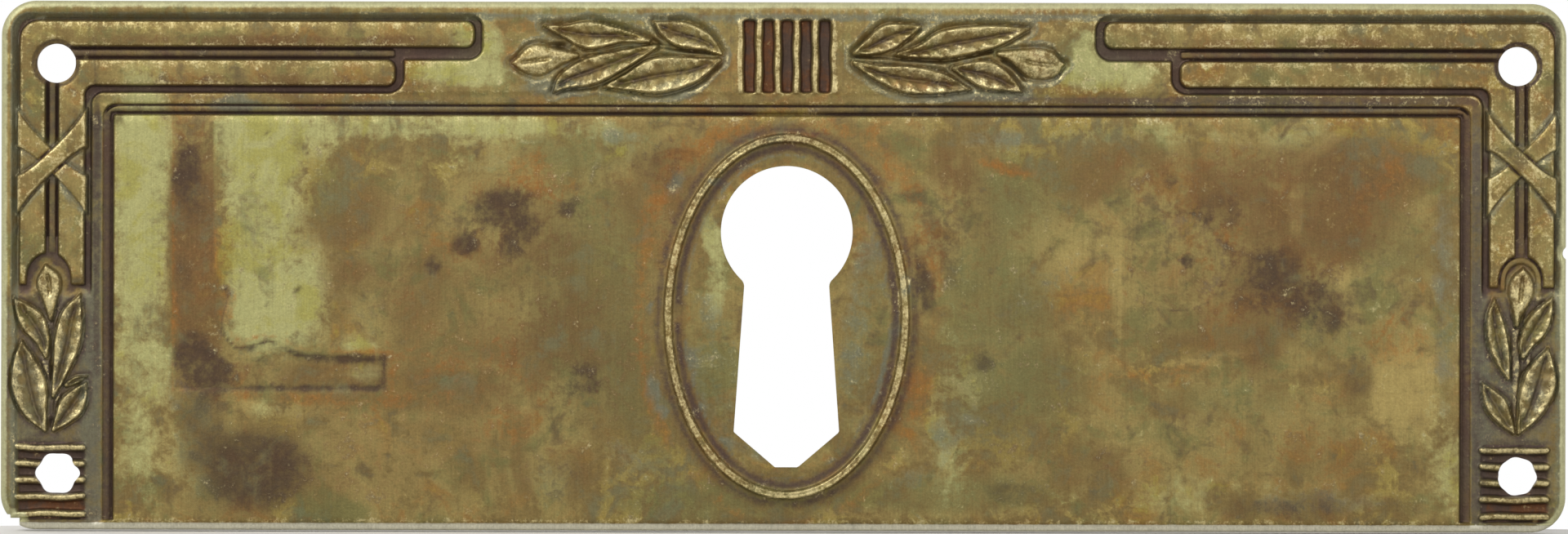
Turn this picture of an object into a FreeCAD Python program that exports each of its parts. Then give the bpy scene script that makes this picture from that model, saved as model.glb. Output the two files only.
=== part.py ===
import FreeCAD, Part
import math
import os
import Sketcher

from FreeCAD import Placement, Rotation, Vector

# Keyhole escutcheon, one piece of pressed sheet brass, in millimetres.
# It stands as it is used: X to the right, Z up, and the face towards -Y.
# The origin is the middle of the plane on which the turned-down rim lies.
# Levels are counted from that plane towards the face.

os.makedirs("parts", exist_ok=True)
doc = FreeCAD.newDocument("keyhole_escutcheon")

# Driving dimensions

SIZES = (
    ("plate_width", 100.0, "over the turned-down rim"),
    ("plate_corner", 2.25, "radius of the outer corners"),
    ("sheet", 0.5, "thickness of the sheet"),
    ("face_level", 1.5, "panel, bars and frieze above the plane of the rim"),
    ("edge_round", 0.35, "where the face turns down into the rim"),
    ("groove_depth", 0.5, "grooves between the lands"),
    ("groove_slope", 0.14, "run of a groove's sloped side"),
    ("relief_shift", 0.2, "the relief was struck this far to the right"),
    ("rim_side", 0.45, "plain rim at the sides"),
    ("rim_top", 0.73, "plain rim at the top"),
    ("rim_bottom", 0.55, "plain rim below the panel"),
    ("rim_step", 0.3, "drop from the panel to the rim below it"),
    ("bar_gap", 0.6, "groove on the outside and inside of the bars"),
    ("bar_width", 1.52, "each flat bar"),
    ("bar_corner", 1.2, "outer corner of the bars"),
    ("inner_corner", 0.7, "inner corner of the bars"),
    ("middle_gap", 0.96, "groove between the two bars"),
    ("bead_width", 0.32, "fine bead in a groove"),
    ("bead_rise", 0.3, "fine bead above the groove's floor"),
    ("strip_width", 0.6, "narrow land inside the bars"),
    ("strip_corner", 0.9, "corner of the narrow land"),
    ("panel_gap", 0.8, "groove round the panel"),
    ("panel_corner", 0.45, "corner of the panel"),
    ("keyhole_head", 4.21, "radius of the keyhole's round head"),
    ("keyhole_drop", 15.04, "head centre to foot"),
    ("keyhole_neck", 2.7, "half width where the slot leaves the head"),
    ("keyhole_foot", 3.37, "half width where the slot turns in to its point"),
    ("keyhole_point", 2.25, "height of the pointed foot"),
    ("keyhole_tip", 0.73, "half width of the flat at the end of the point"),
    ("ring_margin_side", 3.79, "head to the outside of the ring"),
    ("ring_margin_end", 2.2, "keyhole's ends to the outside of the ring"),
    ("ring_crest", 0.34, "flat top of the oval ring"),
    ("ring_foot", 0.86, "oval ring where it leaves the panel"),
    ("ring_rise", 0.55, "oval ring above the panel"),
    ("ring_clear_top", 0.94, "ring to the panel's top edge"),
    ("ring_clear_bottom", 1.32, "ring to the panel's bottom edge"),
    ("nail_radius", 1.25, "nail holes"),
    ("nail_inset_side", 3.3, "nail holes from the side edges"),
    ("nail_inset_top", 4.0, "upper nail holes from the top edge"),
    ("nail_inset_bottom", 3.6, "lower nail holes from the bottom edge"),
    ("nail_dimple", 1.7, "radius of the dimple round an upper hole"),
    ("nail_dimple_depth", 0.35, "depth of that dimple"),
    ("spray_root", 4.35, "root of a frieze spray from the middle"),
    ("spray_reach", 18.3, "foliage bed of the frieze from the middle"),
    ("bar_end_gap", 1.7, "foliage bed to the end of the outer bar"),
    ("bar_end_step", 5.0, "the inner bar is shorter by this"),
    ("bed_depth", 0.14, "foliage bed below the face"),
    ("leaf_rise", 0.28, "frieze leaves above the face"),
    ("vein_depth", 0.16, "veins below the leaves' tops"),
    ("block_half", 3.3, "half width of the ribbed block's recess"),
    ("block_inset", 1.05, "recess from the plate's top edge"),
    ("block_foot", 0.65, "recess above the groove of the panel"),
    ("rib_pitch", 1.2, "upright ribs of the middle block"),
    ("rib_width", 0.34, "crest of a rib"),
    ("rib_rise", 0.1, "ribs above the face"),
    ("side_field_drop", 0.22, "field of the side columns below the face"),
    ("side_leaf_rise", 0.12, "side leaves above the face"),
    ("ladder_pitch", 1.05, "level ribs at the foot of the sides"),
    ("ladder_inset", 1.02, "lowest level rib from the bottom edge"),
    ("ladder_half", 2.2, "half length of a level rib"),
    ("spray_gap", 1.15, "highest level rib to the side spray's foot"),
    ("bud_height", 9.7, "side spray's foot to the middle of its bud"),
    ("bar_foot_drop", 0.35, "middle of the bud to the side bars' ends"),
    ("arch_radius", 1.42, "recess round the bud"),
    ("arch_gap", 0.2, "edge of that recess to its bead"),
    ("arch_bead", 0.22, "bead that arches over the bud"),
    ("cross_height", 7.45, "middle of the bud to the ribbon cross"),
    ("ribbon_lean", 2.05, "rise of a ribbon from its middle to its end"),
    ("ribbon_height", 1.8, "upright measure across a ribbon"),
    ("ribbon_rise", 0.32, "upper ribbon above the bars"),
    ("chip", 1.05, "piece missing from the lower left corner"),
    ("mark_depth", 0.08, "old pressed mark in the panel"),
    ("mark_side", 39.0, "outer side of the mark from the middle"),
    ("mark_width", 2.5, "upright limb of the mark"),
    ("mark_bottom", 7.9, "foot of the mark below the middle"),
    ("mark_foot_height", 2.1, "level limb of the mark"),
    ("mark_length", 13.4, "level limb from the outer side to its end"),
    ("mark_bend", 3.0, "bend inside the mark"),
    ("dent_side", 25.1, "round dent from the middle"),
    ("dent_lift", 0.4, "round dent above the middle"),
    ("dent_radius", 3.3, "rim of the round dent"),
    ("dent_depth", 0.1, "depth of the round dent"),
)

sheet = doc.addObject("Spreadsheet::Sheet", "sizes")
for row, (name, number, note) in enumerate(SIZES, 1):
    sheet.set(f"A{row}", name)
    sheet.set(f"B{row}", str(number))
    sheet.setAlias(f"B{row}", name)
    sheet.set(f"C{row}", note)
doc.recompute()


class Size:
    """A length with the expression that gives it, so that drawings stay bound to the sheet."""

    def __init__(self, value, text):
        self.value, self.text = float(value), text

    def join(self, other, mark, value):
        return Size(value, f"({self.text} {mark} {as_size(other).text})")

    def __add__(self, other):
        return self.join(other, "+", self.value + as_size(other).value)

    def __sub__(self, other):
        return self.join(other, "-", self.value - as_size(other).value)

    def __mul__(self, other):
        return self.join(other, "*", self.value * as_size(other).value)

    def __truediv__(self, other):
        return self.join(other, "/", self.value / as_size(other).value)

    def __neg__(self):
        return Size(-self.value, f"(-1 * {self.text})")


def as_size(number):
    return number if isinstance(number, Size) else Size(number, repr(float(number)))


def cell(name):
    return Size(sheet.get(name), f"sizes.{name}")


# Insets of the nested lands and grooves, from the rim inwards

half_width = cell("plate_width") / 2
corner = cell("plate_corner")
face = cell("face_level")
floor = face - cell("groove_depth")
slope = cell("groove_slope")
wall = cell("sheet")
shift = cell("relief_shift")
gap, bar, strip = cell("bar_gap"), cell("bar_width"), cell("strip_width")
middle_gap, panel_gap = cell("middle_gap"), cell("panel_gap")

# Distance inwards from the rim to the outer edge of each land or groove.
outer_bar = gap
middle_groove = outer_bar + bar
inner_bar = middle_groove + middle_gap
inner_groove = inner_bar + bar
strip_edge = inner_groove + gap
panel_groove = strip_edge + strip
panel_edge = panel_groove + panel_gap

# The keyhole sets the oval ring, and the ring with its margins sets the plate's height.
head = cell("keyhole_head")
keyhole_height = head + cell("keyhole_drop")
ring_half_width = head + cell("ring_margin_side")
ring_half_height = keyhole_height / 2 + cell("ring_margin_end")
panel_height = cell("ring_clear_top") + ring_half_height * 2 + cell("ring_clear_bottom")
half_height = (cell("rim_top") + panel_edge + panel_height + cell("rim_bottom")) / 2
ring_z = -half_height + cell("rim_bottom") + cell("ring_clear_bottom") + ring_half_height
head_z = ring_z + keyhole_height / 2 - head
panel_bottom = -half_height + cell("rim_bottom")


def side(inset):
    """Half width of the outline that lies this far inside the side rim."""
    return half_width - cell("rim_side") - inset


def top(inset):
    """Height of the outline that lies this far inside the top rim."""
    return half_height - cell("rim_top") - inset


side_axis = half_width - cell("rim_side") - (outer_bar + inner_groove) / 2
nail_x = half_width - cell("nail_inset_side")
spray_end = cell("spray_reach") + cell("bar_end_gap")
outer_end = spray_end - bar / 2
inner_end = outer_end + cell("bar_end_step")
nail_top = half_height - cell("nail_inset_top")
nail_bottom = -half_height + cell("nail_inset_bottom")
frieze_z = (top(0) + top(strip_edge + strip)) / 2
LADDER_RIBS = 5
ladder_z = -half_height + cell("ladder_inset")
ladder_top = ladder_z + cell("ladder_pitch") * (LADDER_RIBS - 1)
spray_z = ladder_top + cell("spray_gap")
bud_z = spray_z + cell("bud_height")
cross_z = bud_z + cell("cross_height")
side_end = bud_z - cell("bar_foot_drop")
END_FULLNESS = 0.53  # radius of a bar's round end, as a share of its width

# How forms lean and overlap

EMBED = 0.1  # how far an added form reaches into the sheet below it, so that the two are one
OVER = 0.5  # how far a cutting form stands out of the surface that it cuts
TINY = 1e-4  # rounding of the modeller's own coordinates
BACK_SPREAD = 0.6  # a groove's ridge on the back is wider than the groove, in sheet thicknesses
UPRIGHT = Placement(Vector(0, 0, 0), Rotation(Vector(0, 0, 1), 90))
HANDS = (("left", -1), ("right", 1))

# Shares of a leaf's width: at the foot and the top of its slopes, in its hollow on the back, in
# its veins and in the bed that is sunk round a spray.
LEAF_FOOT, LEAF_TOP = 1.14, 0.6
HOLLOW_FOOT, HOLLOW_TOP = 0.55, 0.2
VEIN_FLOOR, VEIN_MOUTH = 0.1, 1.9
BED_FLOOR, BED_MOUTH = 0.93, 1.0
LEAF_PULL = 0.16  # the narrower end of a leaf's slope stops this far inside its tips

# The hollow behind the oval ring: its width, height and lean, as shares of the ring's own.
RING_HOLLOW_WIDTH, RING_HOLLOW_RISE, RING_HOLLOW_LEAN = 0.5, 0.7, 0.3

# Drawing helpers


def place(thing, level, x=0, z=0):
    """Puts a drawing or form parallel to the face at a level, with its origin at x, z."""
    level, x, z = as_size(level), as_size(x), as_size(z)
    base = Vector(x.value, -level.value, z.value)
    thing.Placement = Placement(base, Rotation(Vector(1, 0, 0), 90))
    thing.setExpression("Placement.Base.x", x.text)
    thing.setExpression("Placement.Base.y", f"-1 * {level.text}")
    thing.setExpression("Placement.Base.z", z.text)
    return thing


def new_sketch(name, level, x=0, z=0):
    return place(doc.addObject("Sketcher::SketchObject", name), level, x, z)


def bind(sketch, kind, *items):
    """Adds a dimension whose value follows the sheet."""
    *where, size = items
    number = sketch.addConstraint(Sketcher.Constraint(kind, *where, size.value))
    sketch.setExpression(f"Constraints[{number}]", size.text)


def outline(sketch, corners):
    """A closed outline. Each corner is x, z and, where an arc leaves it, the arc's radius and turn.

    The turn is +1 for an arc that runs anticlockwise and -1 for a clockwise one."""
    first = sketch.GeometryCount
    count = len(corners)
    for i, (x, z, *arc) in enumerate(corners):
        to_x, to_z = corners[(i + 1) % count][:2]
        start = Vector(x.value, z.value, 0)
        end = Vector(to_x.value, to_z.value, 0)
        if not arc:
            sketch.addGeometry(Part.LineSegment(start, end), False)
            continue
        radius, turn = arc
        chord = end - start
        half = chord.Length / 2
        sag = radius.value - math.sqrt(max(radius.value**2 - half**2, 0))
        across = Vector(chord.y, -chord.x, 0).normalize() * sag * turn
        sketch.addGeometry(Part.Arc(start, (start + end) / 2 + across, end), False)
    for i, (x, z, *arc) in enumerate(corners):
        here, after = first + i, first + (i + 1) % count
        # An arc is kept anticlockwise, so a clockwise one starts at its second point.
        begin = 2 if arc and arc[1] < 0 else 1
        end = 1 if arc and arc[1] < 0 else 2
        next_arc = corners[(i + 1) % count][2:]
        next_begin = 2 if next_arc and next_arc[1] < 0 else 1
        sketch.addConstraint(Sketcher.Constraint("Coincident", here, end, after, next_begin))
        bind(sketch, "DistanceX", -1, 1, here, begin, x)
        bind(sketch, "DistanceY", -1, 1, here, begin, z)
        if arc:
            bind(sketch, "Radius", here, arc[0])


def rounded_box(sketch, half_x, low, high, radius):
    """A rectangle with four equal round corners."""
    outline(
        sketch,
        [
            (half_x - radius, low, radius, 1),
            (half_x, low + radius),
            (half_x, high - radius, radius, 1),
            (half_x - radius, high),
            (-half_x + radius, high, radius, 1),
            (-half_x, high - radius),
            (-half_x, low + radius, radius, 1),
            (-half_x + radius, low),
        ],
    )


def corner_band(sketch, hand, start, finish, end_x, wider):
    """An L along the top and one side, from one inset to another and widened by a margin.

    hand is +1 at the right and -1 at the left."""
    out_x, in_x = side(start) + wider, side(finish) - wider
    out_z, in_z = top(start) + wider, top(finish) - wider
    outer = cell("bar_corner") + wider
    inner = cell("inner_corner") - wider
    path = [
        (end_x, out_z),
        (out_x - outer, out_z, outer, -1),
        (out_x, out_z - outer),
        (out_x, side_end),
        (in_x, side_end),
        (in_x, in_z - inner, inner, 1),
        (in_x - inner, in_z),
        (end_x, in_z, (out_z - in_z) * END_FULLNESS, -1),
    ]
    if hand < 0:
        path = [(-x, z, *([arc[0], -arc[1]] if arc else [])) for x, z, *arc in path]
    outline(sketch, path)


def arch_band(sketch, start, finish, wider):
    """A band up one side, along the top and down the other side, open at the foot."""
    out_x, in_x = side(start) + wider, side(finish) - wider
    out_z, in_z = top(start) + wider, top(finish) - wider
    outer = cell("strip_corner") + wider
    inner = cell("panel_corner") - wider
    outline(
        sketch,
        [
            (out_x, panel_bottom),
            (out_x, out_z - outer, outer, 1),
            (out_x - outer, out_z),
            (-out_x + outer, out_z, outer, 1),
            (-out_x, out_z - outer),
            (-out_x, panel_bottom),
            (-in_x, panel_bottom),
            (-in_x, in_z - inner, inner, -1),
            (-in_x + inner, in_z),
            (in_x - inner, in_z, inner, -1),
            (in_x, in_z - inner),
            (in_x, panel_bottom),
        ],
    )


# Forming helpers


def loft(name, sketches):
    """Straight sides from one drawing to the next."""
    form = doc.addObject("Part::Loft", name)
    form.Sections = sketches
    form.Solid = True
    form.Ruled = True
    return form


def form_of(name, draw, levels, x=0, z=0):
    """A form between levels. levels lists a level and how much wider the drawing is there."""
    sketches = []
    for number, (level, wider) in enumerate(levels):
        sketch = new_sketch(f"{name}_line{number}", level, x, z)
        draw(sketch, as_size(wider))
        sketches.append(sketch)
    return loft(name, sketches)


def cylinder(name, radius, low, high, x, z):
    form = place(doc.addObject("Part::Cylinder", name), low, x, z)
    form.setExpression("Radius", as_size(radius).text)
    form.setExpression("Height", (as_size(high) - low).text)
    return form


def cone(name, low_radius, high_radius, low, high, x, z):
    form = place(doc.addObject("Part::Cone", name), low, x, z)
    form.setExpression("Radius1", as_size(low_radius).text)
    form.setExpression("Radius2", as_size(high_radius).text)
    form.setExpression("Height", (as_size(high) - low).text)
    return form


def fuse(name, forms):
    whole = doc.addObject("Part::MultiFuse", name)
    whole.Shapes = forms
    return whole


def cut(name, base, tool):
    rest = doc.addObject("Part::Cut", name)
    rest.Base = base
    rest.Tool = tool
    return rest


def oval_ring(name, outside, inside, low, high, narrower):
    """An oval ring that narrows by a margin on each side from one level to the other."""
    walls = []
    for wall_name, inset, lean in (("outer", outside, -1), ("inner", inside, 1)):
        ovals = []
        for number, (level, run) in enumerate(((low, as_size(0)), (high, narrower * lean))):
            oval = doc.addObject("Part::Ellipse", f"{name}_{wall_name}_oval{number}")
            place(oval, level, shift, ring_z)
            oval.Placement = oval.Placement.multiply(UPRIGHT)
            oval.setExpression("MajorRadius", (ring_half_height - inset + run).text)
            oval.setExpression("MinorRadius", (ring_half_width - inset + run).text)
            ovals.append(oval)
        walls.append(loft(f"{name}_{wall_name}", ovals))
    return cut(name, *walls)


def leaf_outline(sketch, base, tip, stations, share, pull):
    """Two sides of arcs from base to tip. A station is x, z and half width on the leaf's spine.

    share narrows the leaf, and pull brings its ends inwards."""
    spine = [base] + [(x, z) for x, z, width in stations] + [tip]
    sides = {1: [], -1: []}
    for i, (x, z, width) in enumerate(stations, 1):
        along_x = spine[i + 1][0] - spine[i - 1][0]
        along_z = spine[i + 1][1] - spine[i - 1][1]
        length = math.hypot(along_x, along_z)
        for hand in sides:
            across = hand * width * share / length
            sides[hand].append((x - along_z * across, z + along_x * across))

    def pulled(point, towards):
        part = pull / math.dist(point, towards)
        return tuple(a + (b - a) * part for a, b in zip(point, towards))

    start, end = pulled(spine[0], spine[1]), pulled(spine[-1], spine[-2])
    for line in ([start, *sides[1], end], [end, *reversed(sides[-1]), start]):
        for i in range(0, len(line) - 2, 2):
            points = [Vector(x, z, 0) for x, z in line[i : i + 3]]
            sketch.addGeometry(Part.Arc(*points), False)


def leaf(name, anchor, shape, low, high, low_share, high_share, pull=LEAF_PULL):
    """A leaf with sloped sides from one level to another, each with its share of the width."""
    base, tip, stations = shape
    sketches = []
    for number, (level, share) in enumerate(((low, low_share), (high, high_share))):
        sketch = new_sketch(f"{name}_line{number}", level, *anchor)
        inwards = pull if share == min(low_share, high_share) else 0
        leaf_outline(sketch, base, tip, stations, share, inwards)
        sketches.append(sketch)
    return loft(name, sketches)


back = face - wall  # the sheet's back under the lands
floor_back = floor - wall  # and under the grooves
slope_over = slope * (as_size(OVER) / cell("groove_depth"))
back_margin = wall * BACK_SPREAD


def trough(draw, name, x=shift, z=0, low=floor):
    """A sunk area with sloped sides that opens at the face."""
    return form_of(name, draw, ((low, -slope), (face + OVER, slope_over)), x, z)


def ridge(draw, name, x=shift, z=0, low=floor_back):
    """The same area on the back, where it stands up as a ridge of the sheet."""
    return form_of(name, draw, ((low, back_margin - slope), (face, back_margin)), x, z)


def land(draw, name, rise, low=floor, x=shift, z=0, run=slope):
    """A raised form with sloped sides that stands on the sheet."""
    return form_of(name, draw, ((low - EMBED, run), (low + rise, 0)), x, z)


# Blank with its rim turned down

blank = doc.addObject("PartDesign::Body", "blank")
plane = next(f for f in blank.Origin.OriginFeatures if f.Role == "XZ_Plane")
edge = blank.newObject("Sketcher::SketchObject", "blank_edge")
edge.AttachmentSupport = [(plane, "")]
edge.MapMode = "FlatFace"
rounded_box(edge, half_width, -half_height, half_height, corner)
pad = blank.newObject("PartDesign::Pad", "blank_pad")
pad.Profile = edge
pad.setExpression("Length", face.text)
doc.recompute()
pad.Reversed = pad.Shape.BoundBox.YMax > face.value / 2
doc.recompute()
front_edges = [
    f"Edge{i}"
    for i, e in enumerate(pad.Shape.Edges, 1)
    if e.BoundBox.YMax < -face.value + TINY
]
turned = blank.newObject("PartDesign::Fillet", "blank_turned_edge")
turned.Base = (pad, front_edges)
turned.setExpression("Radius", cell("edge_round").text)

# Troughs, with the bars and fine beads that stand in them, and their backs

troughs, ridges, lands, back_lands = [], [], [], []


def band(hand, start, finish, end_x):
    return lambda sketch, wider: corner_band(sketch, hand, start, finish, end_x, wider)


def bead_in(start, width):
    first = start + (width - cell("bead_width")) / 2
    return first, first + cell("bead_width")


for mark, hand in HANDS:
    rows = (
        ("outer", as_size(0), inner_bar, outer_bar, outer_end),
        ("inner", middle_groove, strip_edge, inner_bar, inner_end),
    )
    for row, start, finish, bar_start, end_x in rows:
        groove = band(hand, start, finish, end_x)
        troughs.append(trough(groove, f"{mark}_{row}_trough"))
        ridges.append(ridge(groove, f"{mark}_{row}_ridge"))
        flat = band(hand, bar_start, bar_start + bar, end_x)
        lands.append(land(flat, f"{mark}_{row}_bar", cell("groove_depth")))
        levels = ((floor_back - EMBED, -back_margin + slope), (back, -back_margin))
        back_lands.append(form_of(f"{mark}_{row}_bar_back", flat, levels, shift))
    bead = band(hand, *bead_in(middle_groove, middle_gap), inner_end)
    lands.append(land(bead, f"{mark}_fine_bead", cell("bead_rise"), run=slope / 2))


def panel_groove_line(sketch, wider):
    arch_band(sketch, panel_groove, panel_edge, wider)


def panel_bead_line(sketch, wider):
    arch_band(sketch, *bead_in(panel_groove, panel_gap), wider)


troughs.append(trough(panel_groove_line, "panel_trough"))
ridges.append(ridge(panel_groove_line, "panel_ridge"))
lands.append(land(panel_bead_line, "panel_bead", cell("bead_rise"), run=slope / 2))

# Recess and upright ribs in the middle of the frieze

block_top = half_height - cell("block_inset")
block_bottom = top(panel_groove) + cell("block_foot")


def block_line(sketch, wider):
    half = cell("block_half") + wider
    low, high = block_bottom - wider, block_top + wider
    outline(sketch, [(-half, low), (half, low), (half, high), (-half, high)])


def rib_line(sketch, wider):
    half = cell("rib_width") / 2 + wider
    low, high = block_bottom - wider, block_top + wider
    outline(sketch, [(-half, low), (half, low), (half, high), (-half, high)])


RIBS = 6
ornaments = []
troughs.append(trough(block_line, "block_trough"))
ridges.append(ridge(block_line, "block_ridge"))
for number in range(RIBS):
    place_x = shift + cell("rib_pitch") * (number - (RIBS - 1) / 2)
    rise = cell("groove_depth") + cell("rib_rise")
    ornaments.append(land(rib_line, f"rib_{number + 1}", rise, x=place_x))

# Side columns: the field below the bars, the level ribs and the arch round the bud

field = face - cell("side_field_drop")
ladder_bottom = ladder_z - cell("ladder_pitch") / 2
ladder_head = ladder_top + cell("ladder_pitch") / 2
arches, arch_ridges, leaf_cuts, leaf_backs = [], [], [], []


def field_line(hand):
    def draw(sketch, wider):
        near = side(panel_groove) * hand
        far = side(0) * hand
        near, far = (near, far) if hand > 0 else (far, near)
        low, high = ladder_bottom - wider, side_end + wider
        near, far = near - wider, far + wider
        outline(sketch, [(near, low), (far, low), (far, high), (near, high)])

    return draw


def ladder_line(sketch, wider):
    half = cell("ladder_half") + wider
    low, high = ladder_bottom - wider, ladder_head + wider
    outline(sketch, [(-half, low), (half, low), (half, high), (-half, high)])


def level_rib_line(sketch, wider):
    half, half_rib = cell("ladder_half") + wider, cell("rib_width") / 2 + wider
    corners = [(-half, -half_rib), (half, -half_rib), (half, half_rib), (-half, half_rib)]
    outline(sketch, corners)


def ribbon_line(lean):
    """A slanted band across both bars, with upright ends."""

    def draw(sketch, wider):
        reach = (inner_groove - outer_bar) / 2 + slope + wider
        rise = cell("ribbon_lean") * lean
        half = cell("ribbon_height") / 2 + wider
        corners = [(-reach, -rise - half), (reach, rise - half), (reach, rise + half)]
        outline(sketch, corners + [(-reach, -rise + half)])

    return draw


# On each side, the ladder's and arch's shift from the middle of the bars.
SIDE_SHIFTS = {"left": (-0.05, -0.2), "right": (-0.45, -0.05)}
for mark, hand in HANDS:
    axis_x = shift + side_axis * hand
    ladder_shift, arch_shift = SIDE_SHIFTS[mark]
    ladder_x, arch_x = axis_x + ladder_shift, axis_x + arch_shift
    arches.append(trough(field_line(hand), f"{mark}_field", low=field))
    ridges.append(ridge(field_line(hand), f"{mark}_field_ridge", low=field - wall))
    arches.append(trough(ladder_line, f"{mark}_ladder_trough", ladder_x))
    ridges.append(ridge(ladder_line, f"{mark}_ladder_ridge", ladder_x))
    for number in range(LADDER_RIBS):
        rib_z = ladder_z + cell("ladder_pitch") * number
        name = f"{mark}_level_rib_{number + 1}"
        ornaments.append(land(level_rib_line, name, cell("groove_depth"), x=ladder_x, z=rib_z))
    radius = cell("arch_radius")
    arches.append(cone(f"{mark}_arch", radius - slope, radius, floor, face, arch_x, bud_z))
    arch_ridge = (radius + back_margin - slope, radius + back_margin, floor_back, face)
    arch_ridges.append(cone(f"{mark}_arch_ridge", *arch_ridge, arch_x, bud_z))
    bead_foot = radius - cell("arch_gap")
    bead_crest = bead_foot - slope / 2
    levels = (floor - EMBED, floor + cell("bead_rise"))
    outer = cone(f"{mark}_arch_bead_outside", bead_foot, bead_crest, *levels, arch_x, bud_z)
    bead_inside = bead_crest - cell("arch_bead")
    inner = cylinder(f"{mark}_arch_bead_inside", bead_inside, 0, face, arch_x, bud_z)
    ornaments.append(cut(f"{mark}_arch_bead", outer, inner))
    under = cell("ribbon_rise") / 2
    for name, lean, rise in (
        ("under", hand, under),
        ("over", -hand, cell("ribbon_rise")),
    ):
        draw = ribbon_line(lean)
        levels = ((floor - EMBED, slope / 2), (face + rise, as_size(0)))
        ribbon = form_of(f"{mark}_{name}_ribbon", draw, levels, axis_x, cross_z)
        ornaments.append(ribbon)

# Foliage. A leaf is its base, its tip and stations of x, z and half width on its spine, counted
# from the root of its spray. No two leaves of the two sides are alike.

FRIEZE_LEFT = {
    "upper": ((0.1, 0.35), (-4.15, 2.35), ((-0.95, 1.1, 0.55), (-2.2, 1.5, 0.75), (-3.25, 1.85, 0.55))),
    "lower": ((0, -0.1), (-7.4, -1.8), ((-1.85, -0.75, 0.8), (-4.05, -1.1, 1.05), (-5.85, -1.5, 0.5))),
    "outer": ((-4, 0.8), (-10.6, -2.2), ((-6.15, -0.05, 0.55), (-8.15, -0.8, 0.8), (-9.75, -1.4, 0.5))),
    "long": ((-4.5, 1.15), (-11.2, 2.1), ((-6.25, 1.45, 0.4), (-8.3, 1.5, 0.8), (-9.9, 1.75, 0.35))),
    "bud": ((-9.1, 0.2), (-13.2, -0.3), ((-10.25, 0.1, 0.45), (-11.6, -0.1, 0.8), (-12.55, -0.25, 0.5))),
}
FRIEZE_LEFT_VEINS = {
    "upper": ((-0.7, 0.9), (-3.1, 1.8), ((-1.85, 1.35, 0.15),)),
    "lower": ((-0.8, -0.45), (-4.9, -1.5), ((-2.7, -0.9, 0.17),)),
    "outer": ((-6, 0), (-9.5, -1.4), ((-7.65, -0.6, 0.16),)),
    "long": ((-7.2, 1.45), (-9.9, 1.75), ((-8.55, 1.5, 0.15),)),
    "bud": ((-10.7, 0.05), (-12.1, -0.2), ((-11.4, -0.05, 0.2),)),
}
FRIEZE_RIGHT = {
    "upper": ((-0.05, 0.35), (4.2, 2.1), ((1, 0.8, 0.5), (2.15, 1.4, 0.75), (3.3, 1.8, 0.4))),
    "long": ((2.75, 0.3), (11.1, 1.95), ((4.25, 0.5, 0.4), (5.9, 0.95, 0.85), (8.8, 1.45, 0.65))),
    "lower": ((-0.05, -0.25), (7.4, -1.95), ((1.55, -0.9, 0.45), (3.4, -1.3, 0.8), (5.5, -1.55, 0.6))),
    "outer": ((6.3, -0.6), (10.65, -2.1), ((7.2, -0.75, 0.5), (8.4, -1, 0.8), (9.55, -1.45, 0.55))),
    "bud": ((9.15, 0.35), (13.35, -0.3), ((10.1, 0.2, 0.35), (11.3, -0.2, 0.75), (12.6, -0.35, 0.65))),
}
FRIEZE_RIGHT_VEINS = {
    "upper": ((0.8, 0.75), (3.2, 1.75), ((2, 1.35, 0.15),)),
    "long": ((5.7, 0.85), (9.5, 1.6), ((7.6, 1.2, 0.16),)),
    "lower": ((1.9, -1), (5.9, -1.6), ((3.85, -1.3, 0.16),)),
    "outer": ((7.5, -0.8), (9.7, -1.55), ((8.65, -1.1, 0.16),)),
    "bud": ((10.9, -0.15), (12.6, -0.3), ((11.7, -0.25, 0.2),)),
}
SIDE_LEFT = {
    "bud": ((-0.05, 7.1), (-0.4, 10.55), ((-0.1, 8.15, 0.35), (-0.15, 9.2, 0.62), (-0.25, 9.9, 0.5))),
    "upper_left": ((-0.35, 4.7), (-2.4, 8.45), ((-0.6, 5.8, 0.45), (-1.15, 6.8, 0.7), (-1.75, 7.55, 0.5))),
    "upper_right": ((0.1, 2.15), (1.85, 8.65), ((0.55, 3.7, 0.45), (1, 5.55, 0.75), (1.35, 7.35, 0.6))),
    "lower_left": ((-0.4, 0), (-1.9, 5.7), ((-1.05, 1.35, 0.75), (-1.45, 2.95, 1), (-1.75, 4.5, 0.6))),
    "sliver": ((0.95, 2.85), (2.3, 3.45), ((1.65, 3.2, 0.2),)),
    "lower_right": ((0.15, 0), (2.25, 3.05), ((0.7, 0.7, 0.45), (1.25, 1.45, 0.7), (1.8, 2.25, 0.5))),
}
SIDE_LEFT_VEINS = {
    "upper_left": ((-0.95, 6.4), (-1.8, 7.75), ((-1.35, 7.15, 0.14),)),
    "upper_right": ((0.6, 4), (1.45, 7.4), ((1.05, 5.7, 0.15),)),
    "lower_left": ((-1.05, 1.5), (-1.75, 4.6), ((-1.4, 2.95, 0.18),)),
    "lower_right": ((0.8, 0.85), (1.85, 2.3), ((1.3, 1.55, 0.14),)),
}
SIDE_RIGHT = {
    "bud": ((-0.3, 6.9), (0.1, 10.55), ((-0.2, 7.85, 0.35), (-0.05, 8.9, 0.65), (0.05, 9.9, 0.5))),
    "upper_left": ((-0.85, 3.5), (-1.75, 8.6), ((-1.3, 5, 0.5), (-1.6, 6.35, 0.58), (-1.75, 7.55, 0.4))),
    "upper_right": ((0.1, 4.85), (1.95, 8.65), ((0.35, 5.8, 0.45), (0.95, 6.8, 0.65), (1.5, 7.75, 0.45))),
    "lower_left": ((-0.5, 0.05), (-2.55, 3.25), ((-1.1, 0.9, 0.45), (-1.6, 1.75, 0.62), (-2.1, 2.5, 0.4))),
    "lower_right": ((-0.2, 0), (1.7, 5.45), ((0.55, 1.45, 0.7), (1.1, 3.1, 1), (1.45, 4.4, 0.6))),
}
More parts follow.
